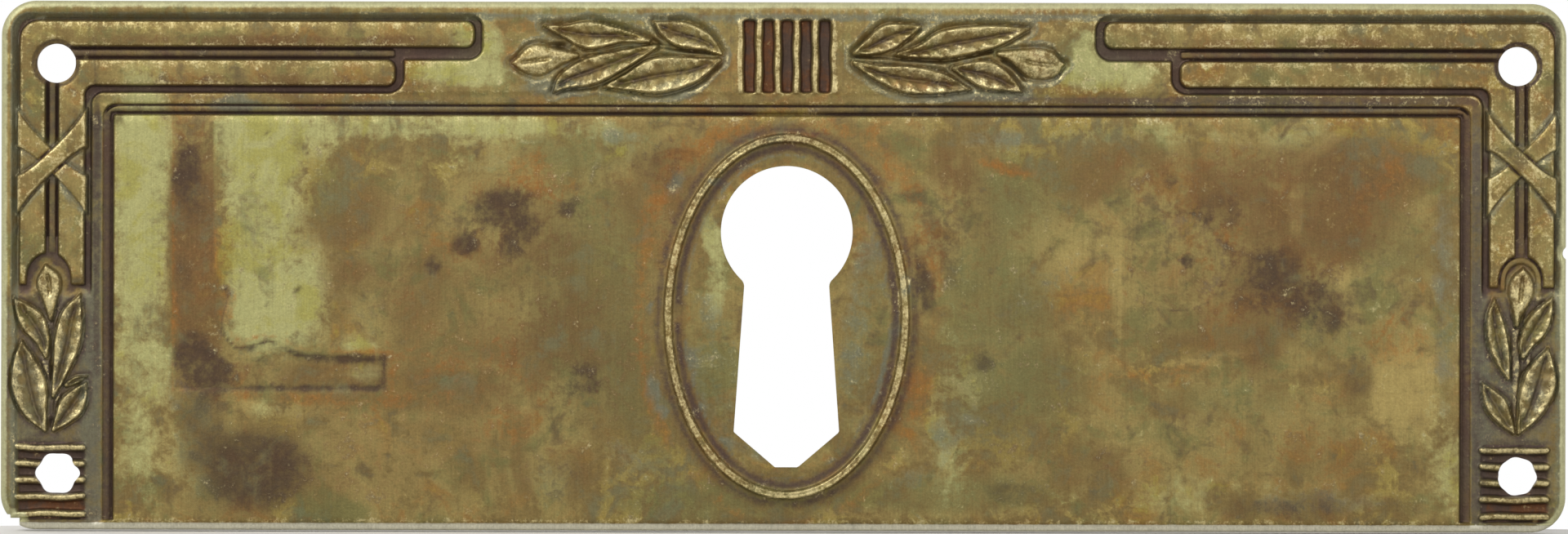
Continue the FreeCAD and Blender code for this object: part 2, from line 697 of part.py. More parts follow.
SIDE_RIGHT_VEINS = {
    "upper_left": ((-1.1, 4.6), (-1.7, 7.6), ((-1.5, 6.15, 0.14),)),
    "upper_right": ((0.5, 6), (1.5, 7.8), ((0.95, 6.85, 0.14),)),
    "lower_left": ((-1.1, 0.95), (-2.15, 2.5), ((-1.65, 1.8, 0.13),)),
    "lower_right": ((0.45, 1.3), (1.5, 4.6), ((1.15, 3.05, 0.18),)),
}
# The shallow bed that the die sank round each frieze spray.
BED_LEFT = ((0.1, 0.1), (-13.95, -0.3), ((-2.6, 0.1, 2.3), (-7.4, 0.1, 2.45), (-12, 0.1, 1.5)))
BED_RIGHT = ((-0.1, 0.1), (13.95, -0.3), ((2.6, 0.1, 2.3), (7.4, 0.1, 2.45), (12, 0, 1.5)))


def spray(mark, anchor, leaves, veins, low, high):
    """The leaves of one spray, their veins and their hollows on the back."""
    vein_floor = high - cell("vein_depth")
    for name, shape in leaves.items():
        levels = (low - EMBED, high)
        ornaments.append(leaf(f"{mark}_{name}_leaf", anchor, shape, *levels, LEAF_FOOT, LEAF_TOP))
        levels = (low - wall - EMBED, high - wall)
        shares = (HOLLOW_FOOT, HOLLOW_TOP)
        leaf_backs.append(leaf(f"{mark}_{name}_hollow", anchor, shape, *levels, *shares))
    for name, shape in veins.items():
        levels = (vein_floor, high + cell("vein_depth"))
        shares = (VEIN_FLOOR, VEIN_MOUTH)
        leaf_cuts.append(leaf(f"{mark}_{name}_vein", anchor, shape, *levels, *shares, pull=0))


bed_floor = face - cell("bed_depth")
for mark, hand, leaves, veins, bed in (
    ("left_frieze", -1, FRIEZE_LEFT, FRIEZE_LEFT_VEINS, BED_LEFT),
    ("right_frieze", 1, FRIEZE_RIGHT, FRIEZE_RIGHT_VEINS, BED_RIGHT),
):
    anchor = (shift + cell("spray_root") * hand, frieze_z)
    levels = (bed_floor, face + OVER)
    troughs.append(leaf(f"{mark}_bed", anchor, bed, *levels, BED_FLOOR, BED_MOUTH))
    spray(mark, anchor, leaves, veins, bed_floor, face + cell("leaf_rise"))
for mark, hand, leaves, veins in (
    ("left_side", -1, SIDE_LEFT, SIDE_LEFT_VEINS),
    ("right_side", 1, SIDE_RIGHT, SIDE_RIGHT_VEINS),
):
    anchor = (shift + side_axis * hand, spray_z)
    spray(mark, anchor, leaves, veins, field, face + cell("side_leaf_rise"))

# Oval ring round the keyhole, and its hollow on the back

ring_run = (cell("ring_foot") - cell("ring_crest")) / 2
ornaments.append(
    oval_ring("ring", as_size(0), cell("ring_foot"), face - EMBED, face + cell("ring_rise"), ring_run)
)
hollow_foot = cell("ring_foot") * RING_HOLLOW_WIDTH
hollow_start = (cell("ring_foot") - hollow_foot) / 2
ring_hollow = oval_ring(
    "ring_hollow",
    hollow_start,
    hollow_start + hollow_foot,
    back - EMBED,
    back + cell("ring_rise") * RING_HOLLOW_RISE,
    hollow_foot * RING_HOLLOW_LEAN,
)

# Keyhole, nail holes and their dimples

through = face + cell("ring_rise") + OVER


def keyhole_line(sketch, wider):
    neck, foot, tip = cell("keyhole_neck"), cell("keyhole_foot"), cell("keyhole_tip")
    low = head_z - cell("keyhole_drop")
    turn = low + cell("keyhole_point")
    # The slot's sides leave the round head where its chord is as wide as the neck.
    drop = math.sqrt(head.value**2 - neck.value**2)
    neck_z = head_z - Size(drop, f"sqrt({head.text} ^ 2 - {neck.text} ^ 2)")
    corners = [(tip, low), (foot, turn), (neck, neck_z), (-neck, neck_z), (-foot, turn), (-tip, low)]
    outline(sketch, corners)


sketch = new_sketch("keyhole_slot_line0", -as_size(OVER), shift)
keyhole_line(sketch, 0)
over_sketch = new_sketch("keyhole_slot_line1", through, shift)
keyhole_line(over_sketch, 0)
openings = [
    loft("keyhole_slot", [sketch, over_sketch]),
    cylinder("keyhole_head_bore", head, -as_size(OVER), through, shift, head_z),
]
for mark, hand in HANDS:
    for row, z in (("upper", nail_top), ("lower", nail_bottom)):
        name = f"{mark}_{row}_nail"
        x = shift + nail_x * hand
        openings.append(cylinder(f"{name}_hole", cell("nail_radius"), -as_size(OVER), through, x, z))
    # Its middle lies on the face, where it is as wide as the dimple.
    dimple = (cell("nail_radius"), cell("nail_dimple") * 2 - cell("nail_radius"))
    levels = (face - cell("nail_dimple_depth"), face + cell("nail_dimple_depth"))
    arches.append(cone(f"{mark}_dimple", *dimple, *levels, shift + nail_x * hand, nail_top))

# Rim below the panel, the missing corner, and the old marks that the panel carries


def foot_rim_line(sketch, wider):
    reach = half_width + OVER
    low, high = -half_height - OVER, panel_bottom + wider
    outline(sketch, [(-reach, low), (reach, low), (reach, high), (-reach, high)])


def chip_line(sketch, wider):
    near, far = -half_width + cell("chip") + wider, -half_width - OVER
    low, high = -half_height - OVER, -half_height + cell("chip") + wider
    bend = cell("chip") / 3
    outline(
        sketch,
        [(far, low), (near, low), (near, high - bend, bend, 1), (near - bend, high), (far, high)],
    )


def pressed_mark_line(sketch, wider):
    """The angle of a strip that once lay across the panel's upper left."""
    left = -cell("mark_side") - wider
    right = -cell("mark_side") + cell("mark_width") + wider
    end_x = -cell("mark_side") + cell("mark_length") + wider
    foot_z = -cell("mark_bottom") - wider
    step_z = -cell("mark_bottom") + cell("mark_foot_height") + wider
    head_z = top(panel_edge) + wider
    bend = cell("mark_bend")
    outline(
        sketch,
        [
            (left, foot_z),
            (end_x, foot_z),
            (end_x, step_z),
            (right + bend, step_z, bend, -1),
            (right, step_z + bend),
            (right, head_z),
            (left, head_z),
        ],
    )


arches.append(trough(foot_rim_line, "foot_rim", low=face - cell("rim_step")))
chip = form_of("chip_gap", chip_line, ((-as_size(OVER), 0), (through, 0)))
mark_floor = face - cell("mark_depth")
marks = [trough(pressed_mark_line, "pressed_mark", low=mark_floor)]
dent_radius, dent_depth = cell("dent_radius"), cell("dent_depth")
ball_radius = (dent_radius * dent_radius + dent_depth * dent_depth) / (dent_depth * 2)
ball_level = face - dent_depth + ball_radius
ball = place(doc.addObject("Part::Sphere", "dent_ball"), ball_level, cell("dent_side"), cell("dent_lift"))
ball.setExpression("Radius", ball_radius.text)
marks.append(ball)

# The hollow back


def inside_line(sketch, wider):
    rounded_box(
        sketch,
        half_width - wall + wider,
        -half_height + wall - wider,
        half_height - wall + wider,
        corner - wall + wider,
    )


foot_back = back - cell("rim_step")
ridges.append(form_of("foot_rim_ridge", foot_rim_line, ((foot_back, wall), (face, wall))))
inside = form_of("inside", inside_line, ((-as_size(OVER), 0), (back, 0)))
under_lands = cut("inside_under_lands", inside, fuse("all_ridges", ridges))
under_bars = fuse("inside_under_bars", [under_lands, *back_lands])
hollow = cut("hollow_back", under_bars, fuse("both_arch_ridges", arch_ridges))

# The plate

grooved = cut("grooved", blank, fuse("all_troughs", troughs))
barred = fuse("barred", [grooved, *lands])
recessed = cut("recessed", barred, fuse("all_recesses", arches + marks))
dressed = fuse("dressed", [recessed, *ornaments])
hollowed = cut("hollowed", dressed, hollow)
pierced = cut("pierced", hollowed, fuse("all_openings", [chip, *openings]))
veined = cut("veined", pierced, fuse("all_veins", leaf_cuts))
plate = cut("escutcheon", veined, fuse("all_hollows", [ring_hollow, *leaf_backs]))
plate.Label = "escutcheon_plate"
doc.recompute()

failed = [o.Name for o in doc.Objects if "Invalid" in o.State or "Error" in o.State]
if failed:
    raise RuntimeError(f"failed: {failed}")
shape = plate.Shape
if shape.isNull() or not shape.isValid() or len(shape.Solids) != 1:
    raise RuntimeError(f"the plate isn't one valid solid: {len(shape.Solids)} solids")
shape.exportStep(f"parts/{plate.Label}.step")
print(f"{plate.Label}: {shape.Volume:.1f} mm3, {len(shape.Faces)} faces, {shape.BoundBox}")
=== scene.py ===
# %% [markdown]
# A keyhole escutcheon is the plate round a drawer's keyhole. This one was struck from one sheet of
# brass between two dies, so it has no seams: every form on it is the same sheet pushed up or down.
# That could be modelled by hand, form by form, but a struck sheet is better made as what it is, one
# height for each place on the plate. The heights are worked out here in millimetres, then a mesh
# is laid over them that is fine where the relief is and coarse where the sheet is plain.

# %% The frame and the sheet's own measures
import functools
import math
import bpy
import numpy as np
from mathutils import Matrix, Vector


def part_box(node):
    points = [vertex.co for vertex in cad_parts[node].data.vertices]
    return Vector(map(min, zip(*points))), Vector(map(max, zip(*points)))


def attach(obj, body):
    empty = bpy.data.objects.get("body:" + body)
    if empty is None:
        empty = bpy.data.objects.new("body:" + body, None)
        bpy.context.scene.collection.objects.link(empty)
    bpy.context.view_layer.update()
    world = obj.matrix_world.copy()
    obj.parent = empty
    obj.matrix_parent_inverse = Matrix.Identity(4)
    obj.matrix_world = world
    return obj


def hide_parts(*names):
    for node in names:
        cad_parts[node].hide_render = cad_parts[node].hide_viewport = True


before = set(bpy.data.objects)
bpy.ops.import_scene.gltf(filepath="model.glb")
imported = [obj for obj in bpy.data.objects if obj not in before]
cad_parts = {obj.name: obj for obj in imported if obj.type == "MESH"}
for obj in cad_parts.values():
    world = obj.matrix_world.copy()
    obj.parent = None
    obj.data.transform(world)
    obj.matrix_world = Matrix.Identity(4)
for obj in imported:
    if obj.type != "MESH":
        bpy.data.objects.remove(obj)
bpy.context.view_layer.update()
NODE = "escutcheon_plate"
MM = 0.001
node_low, node_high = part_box(NODE)
HALF_WIDTH, HALF_HEIGHT = node_high.x / MM, node_high.z / MM
CROWN = -node_low.y / MM  # the highest crest, above the wood
SHEET = 0.5  # thickness of the brass
FACE, FLOOR = 1.5, 1.0  # heights of the flat face and of the grooves' floor
SHIFT = 0.2  # the relief was struck this far right of the plate's middle
HANDS = (-1, 1)
print(f"plate {2 * HALF_WIDTH:.2f} x {2 * HALF_HEIGHT:.2f} mm, {CROWN:.2f} mm to its highest crest")

# %% [markdown]
# The height map is a grid of steps. Its step is a sixteenth of the coarsest mesh cell, so that a
# cell can be halved four times and still have its corners on the grid. A smooth press rounds each
# edge a little, which is a blur of the heights: three passes of a running mean are close to one.

# %% The height map
CELL = 0.5
STEPS = 16
STEP = CELL / STEPS
REACH_X = math.ceil((HALF_WIDTH + 0.25) / CELL) * CELL
REACH_Z = math.ceil(HALF_HEIGHT / CELL) * CELL
xs = np.linspace(-REACH_X, REACH_X, round(2 * REACH_X / STEP) + 1)
zs = np.linspace(-REACH_Z, REACH_Z, round(2 * REACH_Z / STEP) + 1)
X, Z = xs[None, :], zs[:, None]
height = np.full((len(zs), len(xs)), FACE)
FAR = 9.0  # a distance that stands for "nowhere near"


def window(x_low, x_high, z_low, z_high):
    """The rows and columns inside a rectangle, and their coordinates."""
    i = slice(max(int((x_low + REACH_X) / STEP), 0), max(int((x_high + REACH_X) / STEP) + 2, 0))
    k = slice(max(int((z_low + REACH_Z) / STEP), 0), max(int((z_high + REACH_Z) / STEP) + 2, 0))
    return (k, i), xs[i][None, :], zs[k][:, None]


def blurred(field, radius):
    """The field as it is after smoothing over a radius in millimetres."""
    reach = max(round(radius / STEP - 0.5), 1)
    for axis in (0, 1) * 3:
        margin = [(0, 0), (0, 0)]
        margin[axis] = (reach + 1, reach)
        total = np.cumsum(np.pad(field, margin, mode="edge"), axis=axis)
        ahead = np.take(total, range(2 * reach + 1, total.shape[axis]), axis=axis)
        behind = np.take(total, range(0, total.shape[axis] - 2 * reach - 1), axis=axis)
        field = (ahead - behind) / (2 * reach + 1)
    return field


print(f"height map of {len(xs)} by {len(zs)} steps of {STEP:.4f} mm")

# %% [markdown]
# Each form is drawn by how far a point lies outside its edge, negative inside. A sunk form pulls
# the height down where that distance is negative, and a raised one holds it up. Where a form has
# several edges, the highest of its distances counts.

# %% Distances, sinking and lifting
def ease(share):
    """A soft step from 0 to 1."""
    share = np.clip(share, 0, 1)
    return share * share * (3 - 2 * share)


def highest(*fields):
    return functools.reduce(np.maximum, fields)


def corner_distance(x, z, out_x, out_z, radius):
    """Distance outside a corner with a rounded tip."""
    across, up = x - out_x + radius, z - out_z + radius
    outside = np.hypot(np.maximum(across, 0), np.maximum(up, 0))
    return outside + np.minimum(np.maximum(across, up), 0) - radius


def box_distance(x, z, half_x, half_z, radius=0.0):
    return corner_distance(np.abs(x), np.abs(z), half_x, half_z, radius)


def oval_distance(x, z, half_x, half_z):
    """Close to the true distance near the oval's edge, where it matters."""
    ring = np.hypot(x / half_x, z / half_z)
    slope = np.hypot(x / half_x**2, z / half_z**2) + 1e-9
    return ring * (ring - 1) / slope


def sink(area, distance, floor, slope, share=1):
    """Pulls the sheet down to a floor, and leaves what is already lower."""
    ground = height[area]
    height[area] = ground - np.maximum(ground - floor, 0) * ease(-distance / slope) * share


def lift(area, distance, foot, crest, slope):
    """Holds the sheet up to a crest that slopes down to a foot at the form's edge."""
    height[area] = np.maximum(height[area], foot + (crest - foot) * ease(1 - distance / slope))


def line_at(distance, middle, width):
    """A soft line where a distance has a certain value."""
    return np.exp(-(((distance - middle) / width) ** 2))


print("forms are drawn by distance, with soft slopes")

# %% [markdown]
# The border is two flat bars with a fine bead between them, then a narrow strip and a panel. Each
# is counted inwards from the plain rim, so one list of widths gives all the lines, on both sides.

# %% Border lines
RIM_SIDE, RIM_TOP, RIM_FOOT = 0.45, 0.73, 0.55
GAP, BAR, MIDDLE_GAP, STRIP, PANEL_GAP = 0.6, 1.52, 0.96, 0.6, 0.8
MIDDLE = GAP + BAR
INNER_BAR = MIDDLE + MIDDLE_GAP
INNER_GROOVE = INNER_BAR + BAR
STRIP_EDGE = INNER_GROOVE + GAP
PANEL_GROOVE = STRIP_EDGE + STRIP
PANEL_EDGE = PANEL_GROOVE + PANEL_GAP
PANEL_FOOT = -HALF_HEIGHT + RIM_FOOT
SLOPE, BEAD = 0.14, 0.36
BAR_ENDS = {-1: (20.06, 25.12), 1: (20.34, 25.19)}
END_GAP, END_ROUND, GROOVE_ROUND = 0.72, 0.5, 1.1
OUTER_ROUND, INNER_ROUND = 1.2, 0.7
BUD_Z = -0.825
SIDE_END, SIDE_FADE = BUD_Z - 0.35, 1.6
SIDE_AXIS = HALF_WIDTH - RIM_SIDE - (GAP + INNER_GROOVE) / 2
ACROSS_BARS = (INNER_GROOVE - GAP) / 2 + SLOPE
print(f"panel edge {PANEL_EDGE:.2f} mm inside the rim")

# %% [markdown]
# The lines run along the top and down both sides, so each is a corner with a smaller one cut out.
# The rim's own groove is no trench: the sheet slopes down from the rim and is deepest at the bar.

# %% Shapes of the border
def side(inset):
    return HALF_WIDTH - RIM_SIDE - inset


def top(inset):
    return HALF_HEIGHT - RIM_TOP - inset


def rim_inset(x, z):
    """How far inside the rim a point lies."""
    return -corner_distance(np.abs(x), z, side(0), top(0), OUTER_ROUND)


def rim_slope(x, z, foot):
    """The floor beside the rim, which falls from the rim to its foot over the groove's width."""
    return foot + 0.42 * np.clip(1 - rim_inset(x, z) / (0.8 * GAP), 0, 1)


def band_distance(x, z, start, finish, end_x, rounding):
    """Distance outside an L along the top and one side, with a rounded end near the middle."""
    outer = corner_distance(x, z, side(start), top(start), OUTER_ROUND)
    inner = corner_distance(x, z, side(finish), top(finish), INNER_ROUND)
    half, middle = (top(start) - top(finish)) / 2, (top(start) + top(finish)) / 2
    end = box_distance(x - end_x - 4, z - middle, 4, half, min(rounding, half))
    return np.where(x < end_x + 2, end, np.maximum(outer, -inner))


def arch_distance(x, z, start, finish):
    """Distance outside a band that runs up one side, along the top and down the other side."""
    outer = corner_distance(np.abs(x), z, side(start), top(start), 0.9)
    inner = corner_distance(np.abs(x), z, side(finish), top(finish), 0.12)
    return highest(outer, -inner, PANEL_FOOT - z)


print("bands run along the top and down the sides")

# %% [markdown]
# The grooves are sunk first, then the bars and beads rise out of them. A bar is a little crowned
# across, as rolled strip is, and it ends where the side's own field of leaves begins.

# %% Bars, beads and strip
for hand in HANDS:
    ends = sorted((SHIFT + hand * 16, hand * REACH_X))
    area, x, z = window(*ends, SIDE_END - 2 * SIDE_FADE, REACH_Z)
    x = (x - SHIFT) * hand
    fade = ease((z - SIDE_END + SIDE_FADE) / SIDE_FADE)
    outer_end, inner_end = BAR_ENDS[hand]
    floor = rim_slope(x, z, FLOOR)
    for start, finish, end_x in ((0, INNER_BAR, outer_end), (MIDDLE, STRIP_EDGE, inner_end)):
        groove = band_distance(x, z, start, finish, end_x - END_GAP, GROOVE_ROUND)
        sink(area, groove, floor, SLOPE, fade)
    for start, end_x in ((GAP, outer_end), (INNER_BAR, inner_end)):
        distance = band_distance(x, z, start, start + BAR, end_x, END_ROUND)
        distance = np.maximum(distance, SIDE_END - z)
        crowned = FACE + 0.03 * (1 - ((distance + BAR / 2) / (BAR / 2)) ** 2)
        lift(area, distance, FLOOR, crowned, SLOPE)
    start = MIDDLE + (MIDDLE_GAP - BEAD) / 2
    bead = band_distance(x, z, start, start + BEAD, inner_end, 0.1)
    lift(area, np.maximum(bead, SIDE_END - z), FLOOR, FLOOR + 0.2, 0.1)
x, z = X - SHIFT, Z
from_axis = np.abs(x)
everywhere = (slice(None), slice(None))
strip = arch_distance(x, z, STRIP_EDGE, PANEL_GROOVE)
at_side = ease((top(PANEL_GROOVE) - z) / 1.2)
sink(everywhere, strip - SLOPE, FACE - 0.1 - 0.1 * at_side, SLOPE)
sink(everywhere, arch_distance(x, z, PANEL_GROOVE, PANEL_EDGE), FLOOR, SLOPE)
start = PANEL_GROOVE + (PANEL_GAP - BEAD) / 2 - 0.14 * at_side
bead_crest = FLOOR + 0.26 - 0.12 * at_side
lift(everywhere, arch_distance(x, z, start, start + BEAD), FLOOR, bead_crest, 0.12)
print(f"border: heights {height.min():.2f} to {height.max():.2f} mm")

# %% [markdown]
# A leaf follows a smooth spine through a few stations. No two are alike, so each has its own, from
# its spray's root: where it starts, where it ends, and between them places with a half width. The
# last of each spray is its bud. Left and right are two different drawings, not a mirror image.

# %% Leaves and buds of the four sprays
FRIEZE_SPRAYS = {
    -1: (
        ((0.1, 0.35), (-4.15, 2.35), ((-0.95, 1.1, 0.55), (-2.2, 1.5, 0.75), (-3.25, 1.85, 0.55))),
        ((0, -0.1), (-7.4, -1.8), ((-1.85, -0.75, 0.8), (-4.05, -1.1, 1.05), (-5.85, -1.5, 0.5))),
        ((-4, 0.8), (-10.6, -2.2), ((-6.15, -0.05, 0.55), (-8.15, -0.8, 0.8), (-9.75, -1.4, 0.5))),
        ((-4.5, 1.15), (-11.2, 2.1), ((-6.25, 1.45, 0.4), (-8.3, 1.5, 0.8), (-9.9, 1.75, 0.35))),
        ((-9.1, 0.2), (-13.2, -0.3), ((-10.25, 0.1, 0.45), (-11.6, -0.1, 0.8), (-12.55, -0.25, 0.5))),
    ),
    1: (
        ((-0.05, 0.35), (4.2, 2.1), ((1, 0.8, 0.5), (2.15, 1.4, 0.75), (3.3, 1.8, 0.4))),
        ((2.75, 0.3), (11.1, 1.95), ((4.25, 0.5, 0.4), (5.9, 0.95, 0.85), (8.8, 1.45, 0.65))),
        ((-0.05, -0.25), (7.4, -1.95), ((1.55, -0.9, 0.45), (3.4, -1.3, 0.8), (5.5, -1.55, 0.6))),
        ((6.3, -0.6), (10.65, -2.1), ((7.2, -0.75, 0.5), (8.4, -1, 0.8), (9.55, -1.45, 0.55))),
        ((9.15, 0.35), (13.35, -0.3), ((10.1, 0.2, 0.35), (11.3, -0.2, 0.75), (12.6, -0.35, 0.65))),
    ),
}
SIDE_SPRAYS = {
    -1: (
        ((-0.35, 4.7), (-2.4, 8.45), ((-0.6, 5.8, 0.45), (-1.15, 6.8, 0.7), (-1.75, 7.55, 0.5))),
        ((0.1, 2.15), (1.85, 8.65), ((0.55, 3.7, 0.45), (1, 5.55, 0.75), (1.35, 7.35, 0.6))),
        ((-0.4, 0), (-1.9, 5.7), ((-1.05, 1.35, 0.75), (-1.45, 2.95, 1), (-1.75, 4.5, 0.6))),
        ((0.95, 2.85), (2.3, 3.45), ((1.65, 3.2, 0.2),)),
        ((0.15, 0), (2.25, 3.05), ((0.7, 0.7, 0.45), (1.25, 1.45, 0.7), (1.8, 2.25, 0.5))),
        ((-0.05, 7.1), (-0.4, 10.55), ((-0.1, 8.15, 0.35), (-0.15, 9.2, 0.62), (-0.25, 9.9, 0.5))),
    ),
    1: (
        ((-0.85, 3.5), (-1.75, 8.6), ((-1.3, 5, 0.5), (-1.6, 6.35, 0.58), (-1.75, 7.55, 0.4))),
        ((0.1, 4.85), (1.95, 8.65), ((0.35, 5.8, 0.45), (0.95, 6.8, 0.65), (1.5, 7.75, 0.45))),
        ((-0.5, 0.05), (-2.55, 3.25), ((-1.1, 0.9, 0.45), (-1.6, 1.75, 0.62), (-2.1, 2.5, 0.4))),
        ((-0.2, 0), (1.7, 5.45), ((0.55, 1.45, 0.7), (1.1, 3.1, 1), (1.45, 4.4, 0.6))),
        ((-0.3, 6.9), (0.1, 10.55), ((-0.2, 7.85, 0.35), (-0.05, 8.9, 0.65), (0.05, 9.9, 0.5))),
    ),
}
FRIEZE_Z, FRIEZE_ROOT, SPRAY_FOOT = 13.265, 4.35, -10.525
PLUMP = 1.2
BASE_WIDTH, TIP_WIDTH = 0.12, 0.02
print(f"{sum(len(s) - 1 for s in (*FRIEZE_SPRAYS.values(), *SIDE_SPRAYS.values()))} leaves and 4 buds")

# %% Smooth lines and distances from them
def through(points, steps=10):
    """A smooth line through points, with some steps between each two."""
    p = np.array(points, float)
    p = np.vstack([2 * p[0] - p[1], p, 2 * p[-1] - p[-2]])
    t = np.linspace(0, 1, steps, endpoint=False)[:, None]
    runs = [
        0.5 * (2 * b + (c - a) * t + (2 * a - 5 * b + 4 * c - d) * t**2 + (3 * b - a - 3 * c + d) * t**3)
        for a, b, c, d in zip(p, p[1:], p[2:], p[3:])
    ]
    return np.vstack([*runs, p[-2:-1]])


def off_line(x, z, line):
    """Distance from a line of points, the hand on which it lies, and the share of the way along."""
    shape = np.broadcast_shapes(x.shape, z.shape)
    nearest, hand, along = np.full(shape, 1e9), np.zeros(shape), np.zeros(shape)
    for i, (a, b) in enumerate(zip(line, line[1:])):
        run_x, run_z = b[0] - a[0], b[1] - a[1]
        t = np.clip(((x - a[0]) * run_x + (z - a[1]) * run_z) / (run_x**2 + run_z**2), 0, 1)
        off_x, off_z = x - a[0] - t * run_x, z - a[1] - t * run_z
        distance = np.hypot(off_x, off_z)
        closer = distance < nearest
        nearest = np.where(closer, distance, nearest)
        hand = np.where(closer, np.sign(run_x * off_z - run_z * off_x), hand)
        along = np.where(closer, i + t, along)
    return nearest, hand, along / (len(line) - 1)


def window_round(line, reach):
    (x_low, z_low), (x_high, z_high) = line[:, :2].min(0) - reach, line[:, :2].max(0) + reach
    return window(x_low, x_high, z_low, z_high)


def leaf_field(anchor, leaf):
    """The leaf's window, with how far across and along it each point lies."""
    base, tip, stations = leaf
    line = through([(*base, BASE_WIDTH), *stations, (*tip, TIP_WIDTH)])
    line[:, 2] *= PLUMP
    line[:, :2] += anchor
    area, x, z = window_round(line, line[:, 2].max() + 1.0)
    nearest, hand, along = off_line(x, z, line)
    width = np.interp(along, np.linspace(0, 1, len(line)), np.maximum(line[:, 2], 0.04))
    length = np.hypot(*np.diff(line[:, :2], axis=0).T).sum()
    return area, nearest, hand, along, width, length


print(f"a leaf's spine has {len(through([(0, 0, 0)] * 5))} points")

# %% [markdown]
# A leaf's sides slope, its margin stands proud and its middle is dished along the vein, which is how
# a die sinker cuts laurel. A bud is a plump form with a slit between its two lips. Each is stamped
# into a gap of its own, so that neighbours stay apart.

# %% Stamps for leaves, buds, stems and lumps
leaf_edge = np.full(height.shape, FAR)
leaf_middle = np.zeros(height.shape)
RIPPLE, RIPPLE_LENGTH = 0.16, 0.9


def outline_leaves(anchor, leaves):
    """Keeps how far each point lies outside the nearest leaf."""
    for leaf in leaves:
        area, nearest, _, _, width, _ = leaf_field(anchor, leaf)
        leaf_edge[area] = np.minimum(leaf_edge[area], nearest - width)


def stamp_leaf(anchor, leaf, bed, crest):
    area, nearest, hand, along, width, length = leaf_field(anchor, leaf)
    sink(area, nearest - width - 0.16, bed - 0.14, 0.2)
    across = nearest / width
    flank = ease((1.14 - across) / 0.34)
    dish = 0.42 * np.clip(1 - (across / 0.78) ** 2, 0, 1) * ease(along / 0.12) * ease((1 - along) / 0.15)
    vein = 0.4 * line_at(nearest, 0, 0.14) * ease((along - 0.05) / 0.1) * ease((0.9 - along) / 0.1)
    turn = along * length / RIPPLE_LENGTH - across * 0.45 + hand * 0.2
    ripple = RIPPLE * np.sin(2 * math.pi * turn) * ease(across / 0.4) * ease((1.05 - across) / 0.3)
    lean = 0.14 * hand * across
    middle = np.clip(1 - (across / 0.6) ** 2, 0, 1) * ease(along / 0.1)
    leaf_middle[area] = np.maximum(leaf_middle[area], middle)
    form = bed - 0.1 + (crest - bed + 0.1) * flank * (1 - dish - vein + ripple + lean)
    height[area] = np.maximum(height[area], form * flank + (FLOOR - 0.2) * (1 - flank))


def stamp_bud(anchor, leaf, bed, crest):
    area, nearest, _, along, width, _ = leaf_field(anchor, leaf)
    sink(area, nearest - width - 0.2, bed - 0.16, 0.24)
    body = np.sqrt(np.clip(1 - (nearest / width / 1.12) ** 2, 0, 1))
    slit = 0.6 * line_at(nearest, 0, 0.13) * ease((along - 0.3) / 0.12) * ease((0.82 - along) / 0.1)
    height[area] = np.maximum(height[area], bed - 0.05 + (crest - bed + 0.05) * body * (1 - slit))


def stamp_line(points, half_width, depth):
    """A groove along a smooth line, such as a stem or a vein."""
    line = through(points, 5)
    area, x, z = window_round(line, 0.6)
    height[area] -= depth * line_at(off_line(x, z, line)[0], 0, half_width)


def stamp_lump(x_at, z_at, half_x, half_z, rise):
    """A small round lump, or a pit where the rise is negative."""
    area, x, z = window(x_at - 3 * half_x, x_at + 3 * half_x, z_at - 3 * half_z, z_at + 3 * half_z)
    height[area] += rise * line_at(x, x_at, half_x) * line_at(z, z_at, half_z)


print("stamps for leaves, buds, stems and lumps")

# %% [markdown]
# The sprays of the top lie in a bed that is sunk round them, with a faint raised line at its edge.
# Their stems are grooves, and there is a small lump and a pit beside the left bud.

# %% Sprays of the frieze
BED_FLOOR = FACE - 0.16
STEMS = (
    ((-4.15, 13.65), (-5.82, 13.8), (-7.49, 14.0), (-8.3, 14.4)),
    ((4.5, 13.5), (6.2, 13.4), (9.8, 13.2), (13.2, 13.8)),
    ((14.0, 13.2), (14.8, 12.7), (15.4, 12.0)),
)
for hand, spray in FRIEZE_SPRAYS.items():
    outline_leaves((SHIFT + FRIEZE_ROOT * hand, FRIEZE_Z), spray)
sink(everywhere, leaf_edge - 0.4, BED_FLOOR, 0.3)
for hand, (*leaves, bud) in FRIEZE_SPRAYS.items():
    anchor = (SHIFT + FRIEZE_ROOT * hand, FRIEZE_Z)
    stamp_bud(anchor, bud, BED_FLOOR, FACE + 0.26)
    for leaf in leaves:
        stamp_leaf(anchor, leaf, BED_FLOOR, FACE + 0.3)
in_frieze = (Z > top(PANEL_GROOVE) + 0.1) & (Z < HALF_HEIGHT - 0.6)
height += 0.07 * line_at(leaf_edge, 0.5, 0.13) * in_frieze
for stem in STEMS:
    stamp_line(stem, 0.16, 0.3)
stamp_lump(-14.2, 14.1, 0.5, 0.22, -0.55)
stamp_lump(-13.4, 14.05, 0.22, 0.22, 0.3)
print(f"frieze leaves: heights up to {height.max():.2f} mm")

# %% [markdown]
# The middle of the frieze is a block of six upright ribs, as if a cord were wound round a staff.
# They stand in a sunk field, so the valleys hold the dark of the old patina.

